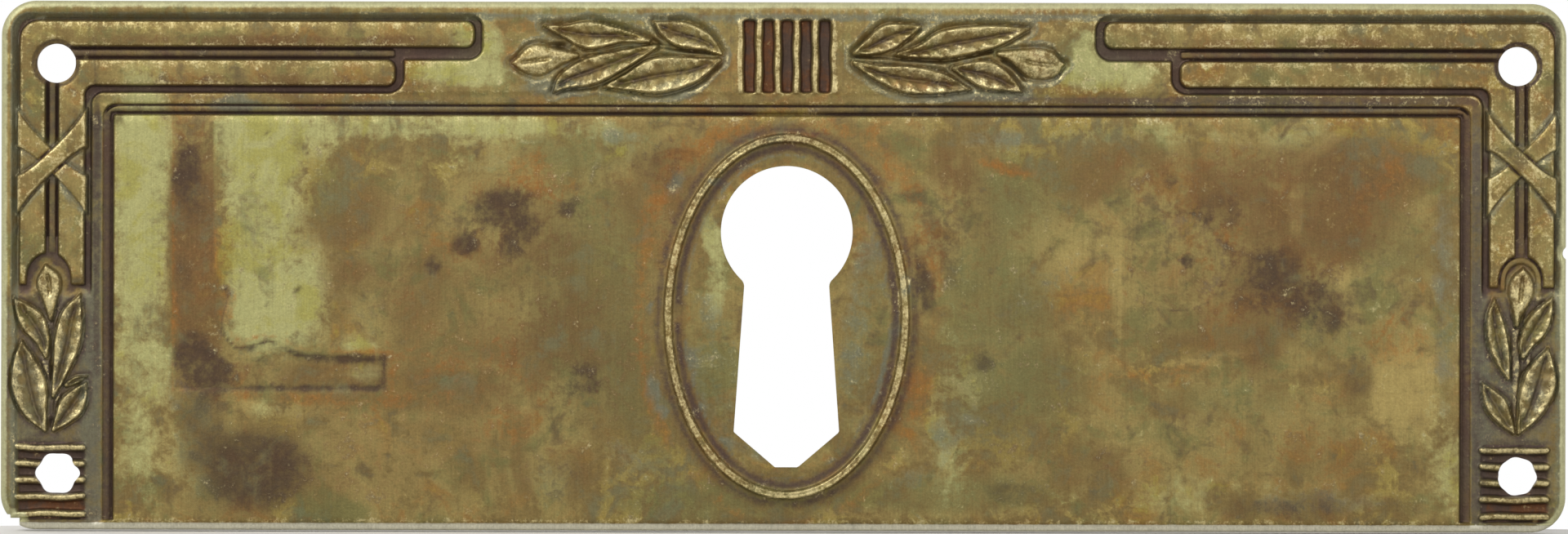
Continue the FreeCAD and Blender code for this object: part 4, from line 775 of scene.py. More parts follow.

# %% [markdown]
# The plain panel carries clouds of green, brown and near black, left by damp, wax and handling.
# They are given as soft ovals: centre, half sizes, strength and, for
# some, a turn in degrees. Noise in
# the material breaks up their edges, so none of the ovals can be seen.

# %% Stains
STAINS = {
    "green": (
        (-41, 4, 1.9, 8, 1), (-41, -6, 2.2, 5, 0.65), (-33.4, 4.5, 2.6, 5.5, 0.95),
        (-32.8, -2.2, 3.4, 3.4, 1), (-29, 0.5, 4, 5, 0.35), (-24, 8.9, 12, 0.9, 0.8),
        (-41, -13, 1.9, 3, 0.5), (-37.5, -11.5, 1.6, 3.6, 0.5), (-32, 8, 4, 2, 0.7),
        (-19.6, 14.4, 1.8, 1.6, 1), (-20.6, 12.4, 3.2, 1, 1), (20.4, 12.4, 3.4, 1.1, 0.95),
        (19.2, 14.2, 1.2, 1.4, 0.8), (-10.6, 7.8, 2.4, 1.2, 0.35), (-19.8, 7.2, 2.4, 1.6, 0.4),
        (-4.6, 1.9, 0.7, 1.8, 1, 12), (-4.3, -1.2, 0.7, 2, 0.7), (-27, -5.3, 1.2, 0.8, 0.7),
        (10.8, -9.5, 2, 5, 0.55), (18, 8.4, 5, 0.9, 0.5), (41.8, -12, 1.2, 4, 0.4),
        (24, -14.5, 9, 1.2, 0.4), (-12, -13.5, 6, 1.6, 0.4), (34, 8.2, 6, 0.9, 0.4),
        (23, 8.4, 5, 0.9, 0.4), (-7, -7.5, 1.4, 4.5, 0.5, 15), (5.4, -10, 1, 3.6, 0.5, -15),
        (-32, -9.2, 2.4, 0.8, 0.5), (-26.6, -6.9, 1, 0.6, 0.8), (-30, -6.9, 3, 0.5, 0.4),
        (43, -13, 1, 3, 0.5), (-24, 3.5, 2.5, 2.5, 0.15),
    ),
    "gold": (
        (39.7, -7.7, 2.3, 3.4, 1), (32.7, 3.5, 0.6, 1.8, 0.9), (35.6, -0.6, 0.7, 0.9, 0.8),
        (21.4, -1.4, 0.4, 5.5, 0.6), (34.5, 7.8, 2.2, 0.6, 0.7, 35), (17.5, 1.5, 3.6, 4, 0.5),
        (27.5, -5.7, 4, 0.5, 0.6, 10), (24.5, -0.6, 1.6, 1.2, 0.5), (23, -12, 4, 2, 0.35),
        (-26, -12.5, 6, 2.6, 0.5), (-20, -9, 6, 3, 0.3), (-30, -9.4, 3, 0.7, 0.5),
        (-39.6, -11.5, 1.5, 3, 0.5), (-16.5, -9.3, 0.7, 0.5, 0.5, 20), (-34, -8.9, 1.1, 0.5, 0.8),
        (26, 15.2, 20, 1, 0.5), (-34, 15.4, 12, 0.6, 0.5), (-13.2, 14.9, 0.8, 0.8, 0.5),
        (8, -15.6, 20, 0.5, 0.5), (-20.5, 15.2, 1.2, 1, 0.5),
    ),
    "olive": (
        (-12.5, -2, 4.5, 9, 0.6), (-8.8, -9, 2, 5, 0.5, 20), (13.5, -4, 4, 8, 0.65),
        (-4.6, -7, 1.6, 5, 0.5, 12), (-19.6, 13.6, 3, 1.8, 0.4), (19.6, 13.4, 2.6, 1.8, 0.9),
        (5.2, -5, 1.6, 7, 0.5, -12), (15.5, 5, 4, 2.6, 0.6), (17, -7.6, 3, 2.4, 0.5),
        (-4, -15, 7, 1.4, 0.7), (10, -14.6, 8, 1.4, 0.6), (36, -4.6, 4, 1.2, 0.5), (39, 1, 3, 2, 0.5),
        (-28.8, 4.4, 1.6, 2.6, 0.6), (0.2, 7, 3.6, 0.5, 0.5), (-13, 7.6, 5, 1.4, 0.5),
        (28, -8.5, 5, 1.2, 0.5), (24, -4, 3, 1.5, 0.5),
    ),
    "brown": (
        (-34.5, 11.5, 11, 0.9, 0.9), (-31, 14.35, 14, 0.5, 0.95), (32, 14.3, 13, 0.45, 0.8),
        (-30, 10.3, 1.6, 0.4, 0.8), (36, 11.5, 3, 0.8, 0.4), (-38.3, 2, 1, 9, 0.9),
        (-36.9, 4, 0.7, 6, 0.6), (-33, -6.7, 3.6, 0.7, 0.5), (-26, 1, 4, 5, 0.5),
        (-17, 2.6, 4.6, 3.4, 0.8), (-20, -4, 8, 4.5, 0.55), (-13, -6, 6, 6, 0.55),
        (-24, -11, 9, 4.5, 0.5), (-14.5, -13.5, 3, 2, 0.6), (23, 5.5, 6, 3, 0.7),
        (32, 3.5, 7, 5.5, 0.9, 20), (38, 6.4, 4, 2, 0.6), (36, 3, 5, 3, 0.5), (36.4, -7.3, 1.4, 2, 0.5),
        (28, -3, 6, 3, 0.7), (30.6, -6, 1.3, 2.2, 0.7), (14, -8, 6, 5, 0.3), (33, -12, 5, 2, 0.5),
        (21, -13, 5, 2, 0.5), (11.5, 5, 1.6, 4, 0.8, 25), (6, -9, 2, 3, 0.4, -30),
        (-30, -13.5, 5, 2, 0.4), (19, 0, 5, 4, 0.3), (0.2, 8.2, 4.2, 0.5, 0.9), (24.5, 1, 3, 2.4, 0.5),
        (-9, 5, 3.5, 3, 0.6), (-27, 1, 3, 4, 0.4), (10, 3, 2, 3, 0.5), (-6.3, -8, 0.8, 4, 0.6, 20),
        (6.8, 1, 0.7, 5, 0.5, 12),
    ),
    "soot_and_shade": (
        (-34.5, 11.4, 11, 0.5, 0.3), (-30, 14.3, 12, 0.3, 0.3), (19.6, 13.4, 2.4, 1.6, 0.25),
        (-38.1, 5.8, 0.85, 1.7, 0.95), (-37.6, 3.8, 0.8, 1.2, 0.6), (-38.4, -0.6, 0.5, 1.2, 0.5),
        (-37.8, -5.6, 1, 1.2, 0.95, -20), (-36.7, -6.8, 1.3, 1.1, 1, -30), (-33.8, -12.9, 3.2, 2, 0.92),
        (-37.2, -10.2, 1.2, 2.3, 0.72, -20), (-38, -8.6, 0.9, 1.4, 0.4), (-35, -15, 3, 1, 0.4),
        (-46.8, -11.4, 1.8, 0.5, 0.5), (46.9, -11.4, 1.8, 0.5, 0.5), (-45, -5.4, 0.5, 0.7, 0.5),
        (-30.5, 2.4, 1.2, 1.1, 0.35), (-26.6, 7.6, 1.2, 0.8, 0.4), (-22.4, 0, 0.5, 0.5, 0.95),
        (-18, 3.7, 1.7, 1.1, 0.9, 10), (-20.4, 1.4, 0.75, 0.7, 0.9), (-17.2, 1.5, 0.9, 0.9, 0.7),
        (-16.3, 2.5, 0.8, 0.6, 0.8), (-13.8, 3.8, 0.7, 0.5, 0.8), (-25.1, 1.4, 0.35, 0.3, 0.6),
        (-12.8, -7.4, 1, 1.1, 0.7), (-30.9, -1.6, 0.2, 0.2, 0.7), (-33, -2.6, 0.22, 0.22, 0.8),
        (-33, 8.5, 0.22, 0.22, 0.8), (-33.9, 5, 0.12, 0.5, 0.6), (24.8, 5.7, 0.35, 0.3, 0.8),
        (25.9, 0.4, 0.45, 0.4, 1), (31.2, -0.3, 1.3, 1.2, 0.7), (34, -2.4, 1.8, 1.1, 0.7, -30),
        (32.2, -1.6, 3.4, 2.2, 0.5, -25), (28, 3.6, 1.4, 1.2, 0.5), (36.8, -7, 0.8, 1.3, 0.6),
        (40.4, -9.8, 0.5, 0.6, 0.6), (9.1, -1.6, 0.55, 1.3, 1, 15), (8.6, 0.9, 0.4, 1, 0.6, 10),
        (12.8, -6, 0.8, 0.6, 0.6), (33.5, -15.4, 2, 0.8, 0.6), (29.3, -15.3, 1.4, 0.7, 0.6),
        (20.5, -12.6, 2, 1, 0.4), (39.6, -15.3, 1.6, 0.6, 0.5), (-14.2, -13.8, 1.4, 1.4, 0.5),
        (15, -14.5, 2, 0.8, 0.4), (10.2, 1.8, 0.8, 2.2, 0.5, 15), (-7.4, 6.6, 1.8, 1.4, 0.45),
        (-19, 6.4, 1.4, 1, 0.3), (-43.9, 5, 0.25, 8, 0.9), (-43.9, -6, 0.25, 3, 0.5),
    ),
    "rust": (
        (-38.95, 0, 0.2, 8, 0.5), (-38.8, -3.4, 0.3, 2.4, 0.55), (-35.7, -2.6, 0.35, 1.3, 0.8, -12),
        (-34.6, -5, 0.5, 0.5, 0.6), (-16.2, 6, 2, 1.4, 0.7, 20), (-14.6, 4.8, 1.6, 0.9, 0.5),
        (-26, -9, 4, 0.5, 0.6, 12), (-30, -8.8, 2.4, 0.5, 0.6), (-22, -6, 4, 2.4, 0.35),
        (-7.6, 5.6, 0.8, 3, 0.7, -28), (-9.1, -1, 0.6, 4.4, 0.45), (-8.4, -8, 0.6, 3.2, 0.45, 20),
        (7.6, 6.2, 0.9, 3, 0.75, 32), (9.9, 0, 0.6, 3.2, 0.5), (8.4, -7.6, 1.1, 1.2, 0.8),
        (14.4, 6.3, 2, 0.6, 0.85, -12), (28.6, 2.4, 1.2, 1, 0.6), (39, 7.4, 1.2, 1.2, 0.6),
        (24, -6.6, 5, 0.4, 0.6, 8), (38.5, 5, 2, 2, 0.4), (-17, 15.3, 4, 0.5, 0.6),
        (1, 8.7, 5, 0.4, 0.6), (-17.4, 13.4, 0.5, 1.6, 0.7, 20), (8.8, 11.6, 3, 0.5, 0.6),
        (34, -9, 2, 1.5, 0.35), (27, 0.2, 1.2, 0.5, 0.6, -25), (39, -4.6, 2.6, 2.2, 0.55),
        (-18, -8, 7, 4, 0.3), (-24, 0, 5, 3, 0.3), (20, -2.5, 3, 1.5, 0.3), (-4, 8, 2, 0.5, 0.5, 20),
    ),
    "crest": (
        (20.6, -3.4, 0.2, 0.12, 1), (18, -10.2, 0.22, 0.14, 1, -30), (13.8, -10.3, 0.1, 0.1, 0.8),
        (-38.9, 5.9, 0.14, 0.14, 1), (-13.6, -9, 0.06, 0.5, 0.9, 10),
        (-12.2, -9.4, 0.06, 0.6, 0.9, -20), (-12.4, -11.4, 0.4, 0.08, 0.8, 20),
        (-19.4, -1.6, 0.5, 0.3, 0.5, 30), (33, 15.4, 15, 1, 0.16), (47.6, 11, 0.9, 4, 0.2),
        (-8.3, -7.6, 0.16, 0.3, 0.8), (7.9, -1, 0.18, 0.3, 1), (7.4, -2.2, 0.14, 0.3, 0.9),
        (7.9, -3, 0.12, 0.25, 0.9), (-8.7, -2.3, 0.12, 0.2, 0.8), (-6.9, 5, 0.35, 0.12, 0.8, 30),
        (-6.4, 4.4, 0.3, 0.1, 0.8, 10),
    ),
    "film": (
        (-4.2, -5, 1.2, 5, 0.4, 10), (5, -3, 1.3, 7, 0.45, -8), (-34.8, 10.2, 2.2, 0.5, 0.8),
        (-24, 10.2, 5, 0.4, 0.6), (31, 10.3, 11, 0.45, 0.6), (12, 9.9, 9, 0.3, 0.5),
        (-44.4, -6.5, 0.55, 9, 0.75), (44.6, -8, 0.5, 8, 0.75), (-8.4, -2.6, 0.25, 0.5, 0.8),
        (-8.2, -8, 0.4, 1.2, 0.9, 10), (-7.6, -9.2, 0.4, 0.6, 0.9, 30), (6.6, -5.6, 0.25, 3, 0.8, -14),
        (7.8, -1.2, 0.35, 0.7, 1), (7.3, -4, 0.3, 0.5, 0.9), (-6.8, 5.4, 0.5, 1, 0.7, -30),
        (-4.4, 5.4, 0.6, 0.3, 0.8), (-5.4, -7.2, 0.6, 2.4, 0.55, 15), (-2.6, -11.6, 2, 0.4, 0.6, -25),
        (10.8, -10.4, 2.2, 1.2, 0.5, 30), (13.6, 8.2, 2.6, 0.7, 0.55), (-10.4, 8.2, 2.6, 0.6, 0.45),
        (-14.8, 11.4, 2.4, 0.5, 0.7), (-7, 11.2, 1.4, 0.6, 0.6), (12, 10.9, 5, 0.4, 0.6),
        (42.4, -2, 0.9, 8, 0.4), (34, -15, 5, 0.8, 0.45), (8.6, -13.4, 2, 0.8, 0.5, 25),
        (-2.6, 15.6, 1.4, 0.4, 0.6), (-9.6, -12.4, 2.4, 0.8, 0.4, -30), (42, 0, 0.5, 8, 0.35),
        (-38.6, -8, 0.8, 2.2, 0.4), (-34.8, 10.6, 0.7, 0.9, 0.8), (-47, -7, 2.2, 5, 0.35),
        (47, -7, 2.2, 5, 0.35), (-45.8, 3, 0.5, 4, 0.3), (16, -2, 2, 3, 0.2),
    ),
}
SPREAD = {"soot_and_shade": 1.75}
for name, stains in STAINS.items():
    field = fields.setdefault(name, height * 0)
    for x_at, z_at, half_x, half_z, strength, *turn in stains:
        reach = 1.8 * max(half_x, half_z)
        area, x, z = window(x_at - reach, x_at + reach, z_at - reach, z_at + reach)
        lean = math.radians(sum(turn))
        across = (x - x_at) * math.cos(lean) + (z - z_at) * math.sin(lean)
        up = (z - z_at) * math.cos(lean) - (x - x_at) * math.sin(lean)
        spread = np.hypot(across / half_x, up / half_z)
        stain = strength * ease(SPREAD.get(name, 1.5) - spread)
        field[area] = field[area] + stain * (1 - field[area])
fields["green"] *= 1 - 0.9 * inside * upright
print("stains:", {name: len(stains) for name, stains in STAINS.items()})

# %% [markdown]
# The mesh starts as square cells and halves each one across or along, wherever the heights bend
# within it. A bar is straight, so its cells stay long, and a leaf gets small square ones.

# %% Cells
EDGE_CELL = 4
WIDEST = 8


def split_cells(measures, edge, finest, coarsest=STEPS):
    """Rectangles of steps that are flat enough in each measure, small where they meet the edge."""
    i, k = np.meshgrid(np.arange(0, len(xs) - 1, coarsest), np.arange(0, len(zs) - 1, coarsest))
    i, k = i.ravel(), k.ravel()
    far_i, far_k = np.minimum(i + coarsest, len(xs) - 1), np.minimum(k + coarsest, len(zs) - 1)
    cells = np.stack([i, k, far_i, far_k], 1)
    share = np.linspace(0, 1, 5)
    done = []
    while len(cells):
        i0, k0, i1, k1 = cells.T
        ci = np.rint(i0[:, None] + (i1 - i0)[:, None] * share).astype(int)
        ck = np.rint(k0[:, None] + (k1 - k0)[:, None] * share).astype(int)
        near = np.abs(edge[ck[:, :, None], ci[:, None, :]]).min((1, 2))
        inside = edge[ck[:, :, None], ci[:, None, :]].min((1, 2)) < STEP * 2
        along_x = ((ci - i0[:, None]) / (i1 - i0)[:, None])[:, None, :]
        along_z = ((ck - k0[:, None]) / (k1 - k0)[:, None])[:, :, None]
        bend_x, bend_z = np.zeros(len(cells)), np.zeros(len(cells))
        for field, tolerance in measures:
            value = field[ck[:, :, None], ci[:, None, :]]
            flat = value[:, :, :1] * (1 - along_x) + value[:, :, -1:] * along_x
            bend_x = np.maximum(bend_x, np.abs(value - flat).max((1, 2)) / tolerance)
            flat = value[:, :1, :] * (1 - along_z) + value[:, -1:, :] * along_z
            bend_z = np.maximum(bend_z, np.abs(value - flat).max((1, 2)) / tolerance)
        wide, tall = i1 - i0, k1 - k0
        rim = near < STEP * np.hypot(wide, tall) / 4
        split_x = ((bend_x > 1) & (wide > finest)) | (rim & (wide > EDGE_CELL))
        split_z = ((bend_z > 1) & (tall > finest)) | (rim & (tall > EDGE_CELL))
        split_x |= split_z & (wide >= WIDEST * tall)
        split_z |= split_x & (tall >= WIDEST * wide)
        whole = ~(split_x | split_z)
        done.append(cells[whole & inside])
        cells, split_x, split_z = (part[~whole & inside] for part in (cells, split_x, split_z))
        i0, k0, i1, k1 = cells.T
        im, km = np.where(split_x, (i0 + i1) // 2, i1), np.where(split_z, (k0 + k1) // 2, k1)
        parts = [
            np.stack([i0, k0, im, km], 1),
            np.stack([im, k0, i1, km], 1)[split_x],
            np.stack([i0, km, im, k1], 1)[split_z],
            np.stack([im, km, i1, k1], 1)[split_x & split_z],
        ]
        cells = np.vstack(parts)
    return np.vstack(done)


measures = ((height, 0.019), (fields["soot_and_shade"], 0.42), (fields["rust"], 0.5), (fields["hollow"], 0.6))
front_cells = split_cells(measures, metal, 3)
print(f"{len(front_cells)} cells on the face")

# %% [markdown]
# Where a small cell meets a large one, the large one takes the small one's corners into its own
# edge, so the mesh has no cracks. Cells that cross the outline or a hole are cut along it.

# %% Triangles from cells
KEY = 1 << 14


def triangles_of(cells):
    """Points in steps, and triangles that share them, with no gap between large and small cells."""
    i0, k0, i1, k1 = cells.T
    corners = [i0 * KEY + k0, i1 * KEY + k0, i1 * KEY + k1, i0 * KEY + k1]
    by_column = np.unique(np.concatenate(corners))
    by_row = np.sort((by_column % KEY) * KEY + by_column // KEY)
    row_point = np.searchsorted(by_column, (by_row % KEY) * KEY + by_row // KEY)
    corner = [np.searchsorted(by_column, c) for c in corners]
    row = [np.searchsorted(by_row, k * KEY + i) for i, k in ((i0, k0), (i1, k0), (i1, k1), (i0, k1))]
    runs = (row[1] - row[0], corner[2] - corner[1], row[2] - row[3], corner[3] - corner[0])
    plain = sum(runs) == len(runs)
    a, b, c, d = (part[plain] for part in corner)
    faces = [np.stack([a, b, c], 1), np.stack([a, c, d], 1)]
    points = [np.stack([by_column // KEY, by_column % KEY], 1).astype(float)]
    count, fans, centres = len(by_column), [], []
    for n in np.nonzero(~plain)[0]:
        ring = [
            *row_point[row[0][n]:row[1][n]],
            *range(corner[1][n], corner[2][n]),
            *row_point[row[3][n] + 1:row[2][n] + 1][::-1],
            *range(corner[3][n], corner[0][n], -1),
        ]
        centres.append(((i0[n] + i1[n]) / 2, (k0[n] + k1[n]) / 2))
        fans += [(count, p, q) for p, q in zip(ring, ring[1:] + ring[:1])]
        count += 1
    if centres:
        points.append(np.array(centres))
        faces.append(np.array(fans))
    points = np.vstack(points)
    return points * STEP - (REACH_X, REACH_Z), np.vstack(faces)


print("cells become triangles that share their corners")

# %% [markdown]
# The triangles that cross the outline or a hole are cut along it. A point that lies close to that
# line moves on to it first, so no sliver is left, and the walls then hang from clean loops.

# %% Trimming along the edges
def at(field, points):
    """The field's value at any point, between its four nearest steps."""
    u = np.clip((points[:, 0] + REACH_X) / STEP, 0, len(xs) - 1.001)
    v = np.clip((points[:, 1] + REACH_Z) / STEP, 0, len(zs) - 1.001)
    i, k = u.astype(int), v.astype(int)
    u, v = u - i, v - k
    low_row = field[k, i] * (1 - u) + field[k, i + 1] * u
    high_row = field[k + 1, i] * (1 - u) + field[k + 1, i + 1] * u
    return low_row * (1 - v) + high_row * v


def trimmed(points, faces, edge):
    """The part of the mesh inside an edge: near points move on to it, and cells across it are cut."""
    distance = at(edge, points)
    near = np.abs(distance) < 0.3 * EDGE_CELL * STEP
    nudge = 0.5 * STEP
    lean_x = (at(edge, points + (nudge, 0)) - at(edge, points - (nudge, 0))) / (2 * nudge)
    lean_z = (at(edge, points + (0, nudge)) - at(edge, points - (0, nudge))) / (2 * nudge)
    steep = np.maximum(lean_x**2 + lean_z**2, 0.3)
    move = np.stack([lean_x, lean_z], 1) * (distance / steep)[:, None]
    points = np.where(near[:, None], points - move, points)
    distance = np.where(near, 0, distance)
    sign = np.sign(distance)[faces]
    middle = at(edge, points[faces].mean(1))
    keep = ((sign <= 0).all(1) & (sign < 0).any(1)) | ((sign == 0).all(1) & (middle < 0))
    kept, new_points, crossings = [tuple(f) for f in faces[keep]], [], {}

    def crossing(p, q):
        """The point between p and q that lies on the edge, made once for both neighbours."""
        pair = (min(p, q), max(p, q))
        if pair not in crossings:
            a, b = pair
            share = distance[a] / (distance[a] - distance[b])
            crossings[pair] = len(points) + len(new_points)
            new_points.append(points[a] + (points[b] - points[a]) * share)
        return crossings[pair]

    for face in faces[(sign < 0).any(1) & (sign > 0).any(1)]:
        loop = []
        for p, q in zip(face, np.roll(face, -1)):
            if distance[p] <= 0:
                loop.append(p)
            if distance[p] * distance[q] < 0:
                loop.append(crossing(p, q))
        kept += [(loop[0], loop[n], loop[n + 1]) for n in range(1, len(loop) - 1)]
    if new_points:
        points = np.vstack([points, new_points])
    kept = np.array(kept)
    used, faces = np.unique(kept, return_inverse=True)
    return points[used], faces.reshape(kept.shape)


def border_loops(faces):
    """Each closed loop of points along the edge of a mesh, in the direction of its triangles."""
    pairs = np.vstack([faces[:, (0, 1)], faces[:, (1, 2)], faces[:, (2, 0)]])
    keys = pairs[:, 0] * (1 << 32) + pairs[:, 1]
    single = ~np.isin(keys, pairs[:, 1] * (1 << 32) + pairs[:, 0])
    after = dict(pairs[single].tolist())
    loops = []
    while after:
        start, point = after.popitem()
        loop = [start]
        while point != start:
            loop.append(point)
            point = after.pop(point)
        loops.append(loop)
    return sorted(loops, key=len, reverse=True)


front_points, front_faces = trimmed(*triangles_of(front_cells), metal)
front_loops = border_loops(front_faces)
print(f"face: {len(front_faces)} triangles, loops of {[len(loop) for loop in front_loops]} points")

# %% [markdown]
# The back is the same sheet seen from behind, half a millimetre lower and softer, because the metal
# doesn't follow the die into each line. The rim is turned down to the drawer, so the outline has a
# wall, a narrow lip that touches the wood, and an inner wall. Each hole has its own short wall.

# %% Back, walls and lip
back_height = np.clip(blurred(height, 0.22) - SHEET, 0.35, None)
back_metal = np.maximum(outline_distance(X, Z, SHEET), -holes)
back_cells = split_cells(((back_height, 0.06),), back_metal, 8, 32)
back_points, back_faces = trimmed(*triangles_of(back_cells), back_metal)
back_loops = border_loops(back_faces)
print(f"back: {len(back_faces)} triangles, loops of {[len(loop) for loop in back_loops]} points")


# %% [markdown]
# Two loops that run round the same centre are joined by going round both at once, and always
# stepping on along the one that is behind.

# %% Walls between loops
def angles(loop, positions, centre):
    """The loop's turn about a centre at each of its points, counted on from the first."""
    out = positions[loop][:, (0, 2)] - centre
    return np.unwrap(np.arctan2(out[:, 1], out[:, 0]))


def bridge(first, second, positions, centre):
    """Triangles between two loops that run the same way round a centre."""
    one = angles(first, positions, centre)
    way = np.sign(one[-1] - one[0])
    two = angles(second, positions, centre)
    start = int(np.argmin(np.abs((two - one[0] + math.pi) % (2 * math.pi) - math.pi)))
    second = second[start:] + second[:start]
    two = angles(second, positions, centre)
    two += 2 * math.pi * round((one[0] - two[0]) / (2 * math.pi))
    full = 2 * math.pi * way
    one, two = np.append(one, one[0] + full) * way, np.append(two, two[0] + full) * way
    first, second = first + first[:1], second + second[:1]
    i, j, faces = 0, 0, []
    while i < len(first) - 1 or j < len(second) - 1:
        ahead = j == len(second) - 1 or (i < len(first) - 1 and one[i + 1] <= two[j + 1])
        if ahead:
            faces.append((first[i], second[j], first[i + 1]))
            i += 1
        else:
            faces.append((first[i], second[j], second[j + 1]))
            j += 1
    return faces


def solid(points, level):
    return np.stack([points[:, 0], -level, points[:, 1]], 1)


front = solid(front_points, at(height, front_points))
back = solid(back_points, at(back_height, back_points))
offset = len(front)
positions = np.vstack([front, back])
faces = [front_faces, back_faces[:, ::-1] + offset]
outer = front_loops[0]
inner = [p + offset for p in back_loops[0]]
rims = []
for loop in (outer, inner):
    rim = positions[loop].copy()
    rim[:, 1] = 0
    rims.append(list(range(len(positions), len(positions) + len(loop))))
    positions = np.vstack([positions, rim])
for loop, rim, turn in ((outer, rims[0], 1), (inner, rims[1], -1)):
    for n in range(len(loop)):
        m = (n + 1) % len(loop)
        quad = [(loop[n], rim[n], loop[m]), (loop[m], rim[n], rim[m])]
        faces.append([t[::turn] for t in quad])
faces.append(bridge(*rims, positions, (0, 0)))
for loop in front_loops[1:]:
    middle = centre = positions[loop][:, (0, 2)].mean(0)
    if len(loop) == len(front_loops[1]):
        centre = np.array((SHIFT, NECK_Z))
    match = min(back_loops[1:], key=lambda other: np.hypot(*(back_points[other].mean(0) - middle)))
    faces.append(bridge(loop, [p + offset for p in match], positions, centre))
faces = np.vstack(faces)
print(f"whole plate: {len(positions)} points, {len(faces)} triangles")

# %% [markdown]
# The arrays go into Blender in one go, which is far quicker than point by point. The wear and the
# stains ride along as values at each point, which the material reads. Edges over 62 degrees, such
# as those of the holes, stay sharp, and all others are shaded smooth.

# %% The plate's mesh
mesh = bpy.data.meshes.new(NODE)
mesh.vertices.add(len(positions))
mesh.vertices.foreach_set("co", (positions * MM).astype(np.float32).ravel())
mesh.loops.add(faces.size)
mesh.loops.foreach_set("vertex_index", faces.astype(np.int32).ravel())
mesh.polygons.add(len(faces))
mesh.polygons.foreach_set("loop_start", np.arange(0, faces.size, 3, dtype=np.int32))
mesh.update(calc_edges=True)
mesh.validate()
on_face = np.zeros(len(positions))
on_face[:len(front)] = 1
for name, field in fields.items():
    values = at(field, positions[:, (0, 2)]) * (on_face if name != "hollow" else 1)
    mesh.attributes.new(name, "FLOAT", "POINT").data.foreach_set("value", values.astype(np.float32))
mesh.polygons.foreach_set("use_smooth", np.ones(len(mesh.polygons), bool))
mesh.set_sharp_from_angle(angle=math.radians(62))
plate = bpy.data.objects.new("pressed_brass_plate", mesh)
bpy.context.scene.collection.objects.link(plate)
print(f"{plate.name}: {len(mesh.polygons)} triangles")

# %% [markdown]
# Old brass goes from bright yellow to olive, then brown and nearly black, as the surface turns to
# oxides and takes up wax and dust. The metal still shows in the gloss, so the shader stays mostly
# metallic and the colour comes from layers: olive over all, then green and brown clouds, dark in
# the hollows, a grey green film beside the relief, and bright brass where hands and cloths rub.
# Some layers also carry painted light and shade: shade round the side leaves, along the veins and
# round the upper nail holes, highlights on the leaves' margins and the panel's lower edge, a pale
# painted reflection on the rim, and painted light on the foot strip.

# %% Material helpers
def linear(hex_colour):
    """An sRGB hex colour as the linear colour that the renderer works in."""
    parts = [int(hex_colour[n:n + 2], 16) / 255 for n in (1, 3, 5)]
    return (*(p / 12.92 if p <= 0.04045 else ((p + 0.055) / 1.055) ** 2.4 for p in parts), 1.0)


def node(tree, kind, inputs, **settings):
    """Adds a node with its settings, and fills its inputs with values or links."""
    made = tree.nodes.new(kind)
    for name, value in settings.items():
        setattr(made, name, value)
    for name, value in inputs.items():
        if isinstance(value, bpy.types.NodeSocket):
            tree.links.new(value, made.inputs[name])
        else:
            made.inputs[name].default_value = value
    return made


OLD_BRASS = "#7b673d"
print("old brass in linear light:", [round(c, 3) for c in linear(OLD_BRASS)])

# %% [markdown]
# Each noise has the size, in millimetres, of something seen on old brass: clouds of tarnish, blooms
# and blotches within them, a fine mottle, and the grain of the rolled sheet, which is drawn coarser
# than it is so that it shows. The layers follow these noises and the values on the mesh.

# %% Patinated brass
brass = bpy.data.materials.new("patinated_brass")
brass.use_nodes = True
tree = brass.node_tree
shader = tree.nodes["Principled BSDF"]
place = node(tree, "ShaderNodeTexCoord", {}).outputs["Object"]
in_mm = node(tree, "ShaderNodeVectorMath", {0: place, "Scale": 1 / MM}, operation="SCALE").outputs[0]
CLOUD, BLOOM, BLOTCH, MOTTLE, GRAIN = 7.0, 3.1, 1.7, 0.5, 0.15
NOISES = {
    "cloud": {"Scale": 1 / CLOUD, "Detail": 3.0, "Roughness": 0.55, "Distortion": 0.8},
    "bloom": {"Scale": 1 / BLOOM, "Detail": 4.0, "Roughness": 0.6, "Distortion": 0.7},
    "blotch": {"Scale": 1 / BLOTCH, "Detail": 4.0, "Roughness": 0.6, "Distortion": 0.5},
    "mottle": {"Scale": 1 / MOTTLE, "Detail": 4.0, "Roughness": 0.65, "Distortion": 0.2},
    "grain": {"Scale": 1 / GRAIN, "Detail": 2.0, "Roughness": 0.6},
}
noise = {}
for name, settings in NOISES.items():
    raw = node(tree, "ShaderNodeTexNoise", {"Vector": in_mm, **settings}).outputs["Fac"]
    noise[name] = node(tree, "ShaderNodeMapRange", {0: raw, 1: 0.3, 2: 0.7, 3: -1.0, 4: 1.0}).outputs[0]
# The cloth that cleaned the plate went up and down, and left fine streaks that way.
STREAK_WIDE, STREAK_LONG = 0.1, 2.2
along = node(tree, "ShaderNodeVectorMath", {0: in_mm, 1: (1 / STREAK_WIDE, 1.0, 1 / STREAK_LONG)},
             operation="MULTIPLY").outputs[0]
raw = node(tree, "ShaderNodeTexNoise", {"Vector": along, "Scale": 1.0, "Detail": 2.0}).outputs["Fac"]
noise["streak"] = node(tree, "ShaderNodeMapRange", {0: raw, 1: 0.3, 2: 0.7, 3: -1.0, 4: 1.0}).outputs[0]
field = {
    name: node(tree, "ShaderNodeAttribute", {}, attribute_name=name).outputs["Fac"]
    for name in fields
}
source = {**noise, **field}


def total(shares, value=0.0):
    """The sum of several values, each times its share, over a first one."""
    for name, share in shares.items():
        inputs = {0: source[name], 1: share, 2: value}
        value = node(tree, "ShaderNodeMath", inputs, operation="MULTIPLY_ADD").outputs[0]
    return value


print(f"{len(noise)} noises and {len(field)} values from the mesh")

